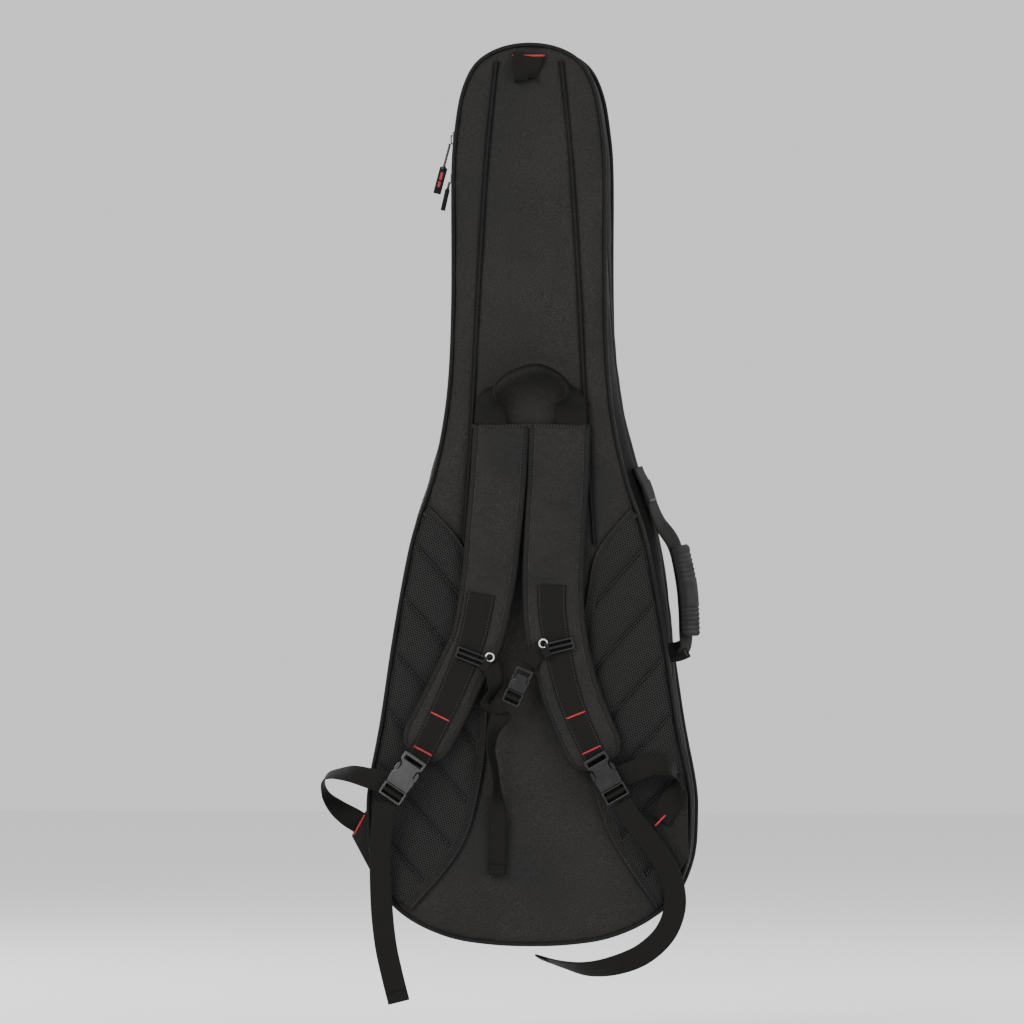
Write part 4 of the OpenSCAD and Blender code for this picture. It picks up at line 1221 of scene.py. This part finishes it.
def make_chest_slide(side_name, place, w, tilt, side):
    """A rectangular slide with a ribbed middle bar, and a wire ring at its inner top corner."""
    y = -23.9 - 0.8 - 2.4
    spot = (place[0], y, place[1])
    frame_plate = plate([loop_points([(-w, -7), (w, -7), (w, 7), (-w, 7)], 2.4),
                         box_loop(-w + 2.3, w - 2.3, -4.9, -1.3), box_loop(-w + 2.3, w - 2.3, 1.3, 4.9)],
                        4.0, 1.0, spot, tilt)
    ribs = [plate([box_loop(x - 0.45, x + 0.45, -1.3, 1.3, 0.3)], 4.7, 0.3, spot, tilt)
            for x in np.arange(4 - w, w - 3.5, 1.6)]
    neck = plate([box_loop(side * w - 2, side * w + 1.2, 3.0, 6.6, 0.8)], 3.2, 0.7, spot, tilt)
    body = side_name + "_strap"
    moulding(side_name + "_chest_slide", [frame_plate, neck] + ribs, plastic, body, "plastic",
             side_name + "_chest_slider")
    ring = []
    for k in range(28):
        a = 2 * math.pi * k / 28
        p = at(place_in(spot, tilt, side * (w + 3) + 4.8 * math.cos(a), 7.5 + 4.8 * math.sin(a)))
        ring.append((p.x, p.y + BACK_Y, p.z))
    verts, faces = tube_mesh(ring, 1.05 * MM, 10, closed=True)
    assembled(side_name + "_chest_ring", [(verts, faces)], steel, body, "slider_metal")
    keeper_path = [place_in(spot, tilt, side * (w + 3 + q), 7.5 - r) for q, r in ((0.4, 4.8), (-0.5, 11), (-2.5, 17))]
    keeper_path = [(p[0], p[1] - 2.6, p[2]) for p in keeper_path]
    keeper = band(side_name + "_chest_keeper", route(keeper_path, 1.0), 9, 1.4, webbing, [BACKWARD], 0.1, 6, 4.0)
    settle(keeper, body, "webbing")


def make_chest_strap():
    for name, node, points, looks, seed in (("chest_loop_webbing", "chest_loop", CHEST_LOOP, CHEST_LOOP_LOOKS, 2.0),
                                            ("chest_link_webbing", "chest_link", CHEST_LINK, [BACKWARD], 6.0)):
        obj = band(name, route(points, 1.5), 19, 1.6, webbing, looks, 0.15, 8, seed)
        settle(obj, "chest_strap", "webbing", node)
    path = route(CHEST_TAIL, 2.5)
    tail = band("chest_tail_webbing", path, 19, 1.6, webbing, CHEST_TAIL_LOOKS, 0.5, 8, 11.0)
    settle(tail, "chest_strap", "webbing", "chest_tail")
    hem = make_hem("chest_tail_hem", path, [BACKWARD], 19)
    settle(hem, "chest_strap", "webbing")


def make_hem(name, path, looks, width_mm, long_mm=13):
    """The tail's end folded over and sewn down."""
    steps = max(int(long_mm * MM / np.linalg.norm(path[1] - path[0])), 3)
    end = path[-steps - 1:]
    look = np.array(looks[-1], float)
    along = unit(end[-1] - end[0])
    side = unit(np.cross(along, look))
    up = np.cross(side, along)
    fold = end + up * 1.3 * MM
    return band(name, fold, width_mm - 0.3, 1.3, webbing, [tuple(look)], 0.0, 8, 1.0)


# ---------------------------------------------------------------- webbing below the buckles

def make_tail(side_name, points, looks, seed):
    path = route(points, 2.5)
    obj = band(side_name + "_tail_webbing", path, 25, 1.6, webbing, looks, 0.5, 8, seed)
    body = side_name + "_strap"
    settle(obj, body, "webbing", side_name + "_tail")
    hem = make_hem(side_name + "_tail_hem", path, looks, 25)
    settle(hem, body, "webbing")


def make_adjust_loop(side_name, points, looks, seed):
    path = route(points, 1.6)
    obj = band(side_name + "_loop_webbing", path, 25, 1.6, webbing, looks, 0.25, 12, seed)
    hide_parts(side_name + "_adjust_loop")
    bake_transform(obj)


def make_anchor(side_name, corners, y0, y1, tack_ends, tack_y):
    """The folded cloth triangle that holds an adjusting loop in the side seam."""
    loop = loop_points(corners, 3.0)
    parts = [plate([loop], y1 - y0, 0.7, (0, (y0 + y1) / 2, 0))]
    moulding(side_name + "_anchor", parts, binding, "tray", "trim_cloth", side_name + "_anchor_tab", angle=50)
    a, b = np.array(tack_ends[0], float), np.array(tack_ends[1], float)
    ends = [at((p[0], tack_y + BACK_Y / MM, p[1])) for p in (a, b)]
    line = np.array([list(ends[0]), list(ends[1])])
    mid = line.mean(0)
    parts = bartack(mid, line[1] - line[0], BACKWARD, float(np.linalg.norm(b - a)), 2.0, 21)
    assembled(side_name + "_anchor_stitching", parts, red_thread, "tray", "webbing")


# ---------------------------------------------------------------- top loop, yoke and handles

def make_hang_loop():
    """A short loop of folded webbing: its two layers are sewn in the top seam and it droops off centre."""
    points = [(0.5, -5.6, 1047), (-0.5, -7.2, 1040), (-2.5, -9.4, 1030), (-4, -10.2, 1021), (-4.5, -8.6, 1015.5),
              (-4, -6.4, 1016.5), (-2.5, -5.2, 1024), (-0.5, -4.2, 1035), (0.5, -3.6, 1047)]
    looks = [(0, -1, 0.1), (0.05, -1, 0.2), (0.25, -1, 0.1), (0.25, -0.9, -0.3), (0.1, -0.2, -1), (0, 0.8, -0.6),
             (-0.1, 1, 0), (0, 1, 0), (0, 1, 0)]
    path = route(points, 1.1)
    obj = band("hang_loop_webbing", path, 37, 1.9, webbing, looks, 0.3, 14, 3.0)
    top, low = BASE + 1047 * MM, BASE + 1015 * MM
    for v in obj.data.vertices:
        t = min(max((top - v.co.z) / (top - low), 0), 1)
        centre = (0.5 - 4.5 * t) * MM
        narrow = 1 - 0.36 * t ** 1.3
        fold = math.sin((v.co.x - centre) / (7 * MM)) * 0.5 * t * MM
        v.co.x = centre + (v.co.x - centre) * narrow
        v.co.y = min(v.co.y + fold, -2.4 * MM)
    settle(obj, "hang_loop", "webbing", "hang_loop")
    mid = np.array([0, -7.0 * MM, BASE + 1044 * MM])
    assembled("hang_loop_bartack", bartack(mid, RIGHTWARD, BACKWARD, 37, 2.4, 30), red_thread, "hang_loop", "webbing")


def make_yoke():
    """The flat cloth seam that holds both straps and the grab handle, with its two stitch lines."""
    y0, y1 = -9.2, -2.1
    loop = loop_points([(-67, 607.5), (72, 607.5), (72, 612.5), (-67, 612.5)], 1.5)
    moulding("yoke_seam", [plate([loop], y1 - y0, 0.9, (0, (y0 + y1) / 2, 0))], binding, "tray", "trim_cloth",
             "strap_yoke", angle=50)
    parts = []
    for h in (608.9, 611.2):
        line = np.array([list(at((x, y0 + BACK_Y / MM, h))) for x in (-62, 67)])
        parts += stitches(line, (0, -0.1 * MM, 0), 3.8, 2.7, 0.28)
    assembled("yoke_stitching", parts, dark_thread, "tray", "trim_cloth")


def make_grab_handle():
    path = route([(x, y, h - 4 * (h == 616)) for x, y, h in GRAB], 2.0)
    obj = band("grab_webbing", path, GRAB_WIDTHS, 2.8, webbing, GRAB_LOOKS, 0.3, 10, 5.0)
    settle(obj, "grab_handle", "webbing", "grab_handle")


def make_side_handle():
    """Webbing tabs sewn on the side wall, the webbing between them, and a moulded grip with finger ribs."""
    h = half_edge(1.5)[::-1]

    def wall(high, gap):
        return float(np.interp(BASE + high * MM, h[:, 1], h[:, 0])) / MM + gap

    tabs = (("side_handle_top_tab", "side_handle_upper_tab", 27.5, (0.97, -0.24, 0),
             [(wall(562, 17), HANDLE_Y, 562), (wall(553, 18), HANDLE_Y, 553), (134, HANDLE_Y, 544),
              (138.5, HANDLE_Y, 533), (143, HANDLE_Y, 521)]),
            ("side_handle_bottom_tab", "side_handle_lower_tab", 21, BACKWARD,
             [(wall(345, 1), HANDLE_Y, 344), (170, HANDLE_Y, 345), (177, HANDLE_Y, 347), (183, HANDLE_Y, 350)]))
    for name, node, width, look, points in tabs:
        path = route(points, 1.5)
        obj = band(name, path, width, 4.2, webbing, [look], 0.2, 8, 2.0)
        settle(obj, "tray", "webbing", node)
        i = len(path) - 3
        across = np.cross(unit(path[i + 1] - path[i]), look)
        parts = bartack(path[i] + unit(np.array(look, float)) * 2.2 * MM, across, look, width - 4, 2.0, 17)
        assembled(name + "_stitching", parts, dark_thread, "tray", "webbing")
    path = route(HANDLE, 2.0)
    obj = band("side_handle_strap", path, 26, 2.4, webbing, HANDLE_LOOKS, 0.2, 8, 8.0)
    settle(obj, "side_handle", "webbing", "side_handle_webbing")
    look = unit(np.array(HANDLE_LOOK, float))
    spine = route([tuple(np.array(HANDLE[i]) + look * 7.0) for i in range(4, 8)], 1.2)
    n = len(spine)
    verts = []
    sides = 28
    for i, p in enumerate(spine):
        along = unit(spine[min(i + 1, n - 1)] - spine[max(i - 1, 0)])
        side = unit(np.cross(along, look))
        up = np.cross(side, along)
        high = height(p[2])
        edge = min(i, n - 1 - i) * 1.2
        size = 1 - 0.22 * max(0, 1 - edge / 5) ** 2
        rib = 0.0
        for low, top in ((430, 463), (368, 398)):
            if low < high < top:
                rib = 1.3 * math.sin((high - low) / 5.4 * math.pi) ** 2
        for k in range(sides):
            a = 2 * math.pi * k / sides
            c, s = math.cos(a), math.sin(a)
            sx = math.copysign(abs(c) ** 0.62, c)
            sy = math.copysign(abs(s) ** 0.62, s)
            verts.append(p + side * sx * (16.4 - rib * 0.7 * (abs(sx) > 0.7)) * size * MM
                         + up * sy * (5.2 * size - (rib if sy > 0.4 else 0)) * MM)
    moulding("side_handle_rubber_grip", [(verts, tunnel(n, sides))], rubber, "side_handle", "rubber",
             "side_handle_grip", angle=60)


# ---------------------------------------------------------------- zip sliders and pulls

def swept_box(corner, size, radius_mm):
    """A box with rounded edges, from its lowest corner and size in mm, in the row frame."""
    bm = bmesh.new()
    bmesh.ops.create_cube(bm, size=1.0)
    for v in bm.verts:
        v.co = Vector([(c + s * (q + 0.5)) * MM for c, s, q in zip(corner, size, v.co)])
        v.co.y += BACK_Y
        v.co.z += BASE
    bmesh.ops.bevel(bm, geom=bm.edges[:], offset=radius_mm * MM, segments=3, profile=0.6, affect="EDGES",
                    clamp_overlap=True)
    verts = [tuple(v.co) for v in bm.verts]
    index = {v: i for i, v in enumerate(bm.verts)}
    faces = [tuple(index[v] for v in f.verts) for f in bm.faces]
    bm.free()
    return verts, faces


def tilted(part, pivot, tilt):
    """Turns a part about the y axis at a pivot, given in mm."""
    verts, faces = part
    a = math.radians(tilt)
    px, pz = pivot[0] * MM, BASE + pivot[1] * MM
    out = []
    for x, y, z in verts:
        dx, dz = x - px, z - pz
        out.append((px + dx * math.cos(a) + dz * math.sin(a), y, pz - dx * math.sin(a) + dz * math.cos(a)))
    return out, faces


def make_main_sliders():
    for name, top, body in (("upper_zip_slider", 958, "upper_slider"), ("lower_zip_slider", 912, "lower_slider")):
        x0 = -89.5 - 5
        parts = [swept_box((x0, 42.5, top - 18), (2.6, 11, 18), 1.2),
                 swept_box((x0 + 2.0, 44.6, top - 17.5), (2.0, 6.8, 17), 0.8),
                 swept_box((x0 - 3, 46.3, top - 15), (1.3, 3.4, 11), 0.6),
                 swept_box((x0 - 3, 46.3, top - 15), (3.4, 3.4, 1.6), 0.6),
                 swept_box((x0 - 3, 46.3, top - 5.6), (3.4, 3.4, 1.6), 0.6)]
        moulding(name, parts, black_metal, body, "slider_metal", body)
    x = -89.5 - 9.2
    for name, body, h, w, long, wire, tilt, t, aside in (
            ("upper_zip_pull", "upper_pull", 943, 9, 60, 28, 15, 3.5, 3.8),
            ("lower_zip_pull", "lower_pull", 898, 5.5, 34, 8, 13, 2.5, -4.4)):
        pivot, y = (x, h), 48 + aside
        link = [tilted(swept_box((x - 1.3, 48 + s - 0.7, h - wire - 2), (2.6, 1.4, wire + 2), 0.5), pivot, tilt)
                for s in (min(aside, 2.0), max(aside, -2.0))]
        link += [tilted(swept_box((x - 1.3, 48 + min(aside, -2.0) - 0.6, h - z - 0.7),
                                  (2.6, abs(aside) + 3.2, 1.5), 0.5), pivot, tilt) for z in (0.2, wire + 1.5)]
        assembled(name + "_link", link, black_metal, body, "slider_metal")
        tab = [tilted(swept_box((x - w / 2, y - t / 2, h - long), (w, t, long - wire), 1.1), pivot, tilt),
               tilted(swept_box((x - w / 4, y - t / 2, h - wire - 2), (w / 2, t, 4), 0.9), pivot, tilt)]
        tab += [tilted(swept_box((x - w / 2 + 1.2, y - t / 2 - 0.25, h - long + z), (w - 2.4, t + 0.5, 0.9), 0.3),
                       pivot, tilt) for z in (3, 5.2, 7.4)]
        moulding(name, tab, rubber, body, "rubber", body, angle=50)
        if body == "upper_pull":
            marks = [tilted(swept_box((x - 1.6, y - t / 2 - 0.3, h - 52 + z), (3.2, t + 0.6, long_z), 0.4), pivot, tilt)
                     for z, long_z in ((0, 7), (9, 9))]
            moulding("upper_zip_pull_inlay", marks, red_rubber, body, "rubber", angle=50)


def make_pocket_sliders():
    case = (CASE_Y - BACK_Y) / MM
    for prefix, x, y, h in (("pocket", -80, case + 20, 484), ("slim", -50, case + 14, 842)):
        parts = [swept_box((x - 7, y + 0.5, h - 5), (14, 3.2, 10), 1.2),
                 swept_box((x - 3, y + 5.8, h - 1.5), (10, 1.3, 3.0), 0.6),
                 swept_box((x - 3, y + 3.2, h - 1.5), (1.5, 3.6, 3.0), 0.6),
                 swept_box((x + 5.5, y + 3.2, h - 1.5), (1.5, 3.6, 3.0), 0.6)]
        moulding(prefix + "_zip_slider", parts, black_metal, prefix + "_slider", "slider_metal", prefix + "_slider")
        px, py, pz = x + 1.5, y + 8.2, h - 2.2
        parts = [swept_box((px - 3.4, py - 1.2, pz - 34), (6.8, 2.4, 29), 0.8),
                 swept_box((px - 2.6, py - 0.8, pz - 6), (1.2, 1.6, 6.5), 0.4),
                 swept_box((px + 1.4, py - 0.8, pz - 6), (1.2, 1.6, 6.5), 0.4),
                 swept_box((px - 2.6, py - 0.8, pz - 0.9), (5.2, 1.6, 1.2), 0.4)]
        parts += [swept_box((px - 2.6, py - 1.45, pz - 34 + z), (5.2, 2.9, 0.8), 0.25) for z in (3, 5, 7)]
        moulding(prefix + "_zip_pull", parts, rubber, prefix + "_pull", "rubber", prefix + "_pull", angle=50)


# ---------------------------------------------------------------- inside the case

def make_inside():
    case0 = 11.5
    section = loop_points([(-60, case0), (60, case0), (60, case0 + 26), (27, case0 + 26), (27, case0 + 8),
                           (-27, case0 + 8), (-27, case0 + 26), (-60, case0 + 26)], 4, 6)
    levels = [(0, 2.0), (0.8, 0.9), (2.4, 0.0)] + [(t, 0.0) for t in np.linspace(6, 64, 14)]
    levels += [(67.6, 0.0), (69.2, 0.9), (70, 2.0)]
    verts = []
    n = len(section)
    for z, shrink in levels:
        for k, (x, y) in enumerate(section):
            before, after = section[k - 1], section[(k + 1) % n]
            normal = unit(np.array([after[1] - before[1], -(after[0] - before[0])]))
            p = np.array([x, y]) - normal * shrink
            p += normal * 0.5 * wrinkle(x * 0.004, z * 0.004, 9, 2.0) - normal * 0.6
            verts.append((p[0] * MM, BACK_Y + p[1] * MM, BASE + (640 + z) * MM))
    assembled("neck_cradle", [(verts, tunnel(len(levels), n))], plush, "tray", "plush", "neck_rest", fill=0.9)
    y = case0 + 26.3 + 1.25
    path = np.array([list(at((x, y + BACK_Y / MM, 674))) for x in np.arange(-58, 45.5, 2.5)])
    obj = band("neck_strap_webbing", path, 37, 2.0, webbing, [FORWARD], 0.2, 10, 6.0)
    settle(obj, "neck_strap", "webbing", "neck_strap")
    ring, out = closed_edge(3.0)
    idx = [i for i in range(len(ring)) if ring[i][1] < BASE + 40 * MM and abs(ring[i][0]) < 70 * MM]
    idx = sorted(idx, key=lambda i: ring[i][0])
    profile = [(12, -7.3), (11.6, -9), (11.9, -14.8), (13.2, -15.9), (24, -16.2), (33.5, -15.9), (34.8, -14.8),
               (34.9, -9), (34.6, -7.3)]
    verts = []
    for i in idx:
        for y, grow in profile:
            p = ring[i] + out[i] * (grow + (0.3 * wrinkle(ring[i][0], y * MM, 30, 1.0) if grow < -10 else 0)) * MM
            verts.append((p[0], BACK_Y + y * MM, p[1]))
    assembled("end_pin_cushion", [(verts, tunnel(len(idx), len(profile)))], plush, "tray", "plush",
              "end_pin_pad", fill=0.9)


# ---------------------------------------------------------------- the whole model

make_back_skin()
make_piping()
make_walls()
make_main_zip()
make_guard_and_spine()
make_linings()
make_front_skin()
make_pocket("lower_pocket_cloth", "lower_pocket", 30, 500, 30, 20, 446, 484, 100, 17.0)
make_pocket("slim_pocket_cloth", "slim_pocket", 560, 862, 20, 14, 800, 842, 60, 23.0)
for side, word, edge, line in ((-1, "left", LEFT_PAD_EDGE, pad_lines[0]), (1, "right", RIGHT_PAD_EDGE, pad_lines[1])):
    make_mesh_pad(side, word + "_mesh", word + "_mesh_pad", line)
    make_pad_binding(word + "_binding", word + "_pad_binding", edge, side)
make_strap("left", LEFT_STRAP, LEFT_STRAP_WIDTHS, 2.0)
make_strap("right", RIGHT_STRAP, RIGHT_STRAP_WIDTHS, 8.0)
make_strap_webbing("left", LEFT_WEBBING, (271, 231), 3.0)
make_strap_webbing("right", RIGHT_WEBBING, (272, 232), 9.0)
# The left buckle takes the lighter copy of the plastic as painted glare; the right buckle has the plain plastic.
make_buckle("left_buckle", LEFT_BUCKLE, LEFT_TILT, 30, 40, 11, "left_strap", "left_socket", painted_glare_plastic)
make_buckle("right_buckle", RIGHT_BUCKLE, RIGHT_TILT, 30, 40, 11, "right_strap", "right_socket", plastic)
make_buckle("chest_buckle", CHEST_BUCKLE, CHEST_TILT, 22, 27, 8, "chest_strap", "chest_socket", plastic)
make_chest_slide("left", (-66, 340), 18.0, 21, 1)
make_chest_slide("right", (39.5, 353), 16.0, -14, -1)
make_chest_strap()
make_adjust_loop("left", LEFT_LOOP, LEFT_LOOP_LOOKS, 4.0)
make_adjust_loop("right", RIGHT_LOOP, RIGHT_LOOP_LOOKS, 7.0)
make_anchor("left", [(-210, 129), (-196, 154), (-186, 168), (-180, 88), (-187, 86)], 4, 8,
            ((-207, 130.5), (-194.5, 153)), 3.4)
make_anchor("right", [(147, 141), (161, 156), (178, 196), (187, 180), (188, 108), (176, 84)], -10.5, -8.3,
            ((149.5, 143), (161, 155)), -14.3)
make_tail("left", LEFT_TAIL, [BACKWARD], 5.0)
make_tail("right", RIGHT_TAIL, RIGHT_TAIL_LOOKS, 12.0)
make_hang_loop()
make_yoke()
make_grab_handle()
make_side_handle()
make_main_sliders()
make_pocket_sliders()
make_inside()


# ---------------------------------------------------------------- studio

CENTRE = Vector((-0.023, 0.03, -0.5356))
FRAME_WIDTH = 1.2047
DISTANCE = 9.0
AZIMUTH = math.radians(5.5)

camera_data = bpy.data.cameras.new("camera")
camera_data.sensor_width = 36
camera_data.lens = 36 * DISTANCE / FRAME_WIDTH
camera_data.clip_end = 100
camera = bpy.data.objects.new("camera", camera_data)
bpy.context.scene.collection.objects.link(camera)
sight = Vector((math.sin(AZIMUTH), -math.cos(AZIMUTH), 0))
camera.location = CENTRE + sight * DISTANCE
camera.rotation_euler = (-sight).to_track_quat("-Z", "Y").to_euler()
bpy.context.scene.camera = camera


def area_light(name, place, power, size, warmth=0.0):
    data = bpy.data.lights.new(name, "AREA")
    data.shape = "RECTANGLE"
    data.size, data.size_y = size
    data.energy = power
    data.color = (1 + warmth, 1, 1 - warmth)
    obj = bpy.data.objects.new(name, data)
    bpy.context.scene.collection.objects.link(obj)
    obj.location = place
    obj.rotation_euler = (CENTRE - Vector(place)).to_track_quat("-Z", "Y").to_euler()
    return obj


area_light("key", (-1.8, -2.4, 1.3), 85, (1.6, 1.6), 0.02)
area_light("fill", (2.2, -2.0, 0.2), 42, (1.8, 2.2))
area_light("rim_left", (-2.0, 1.3, 0.6), 55, (0.8, 2.0))
area_light("rim_right", (2.0, 1.4, 0.4), 34, (0.8, 2.0))

world = bpy.data.worlds.new("studio")
world.use_nodes = True
backdrop = world.node_tree.nodes["Background"]
backdrop.inputs[0].default_value = (0.97, 0.97, 0.97, 1)
backdrop.inputs[1].default_value = 0.95
bpy.context.scene.world = world

bpy.ops.mesh.primitive_plane_add(size=14, location=(0, 0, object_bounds()[0][2] - 0.05))
floor = bpy.context.object
floor.name = "floor"
pale = Graph("pale_floor")
floor.data.materials.append(pale.finish((0.9, 0.9, 0.9), 0.7))
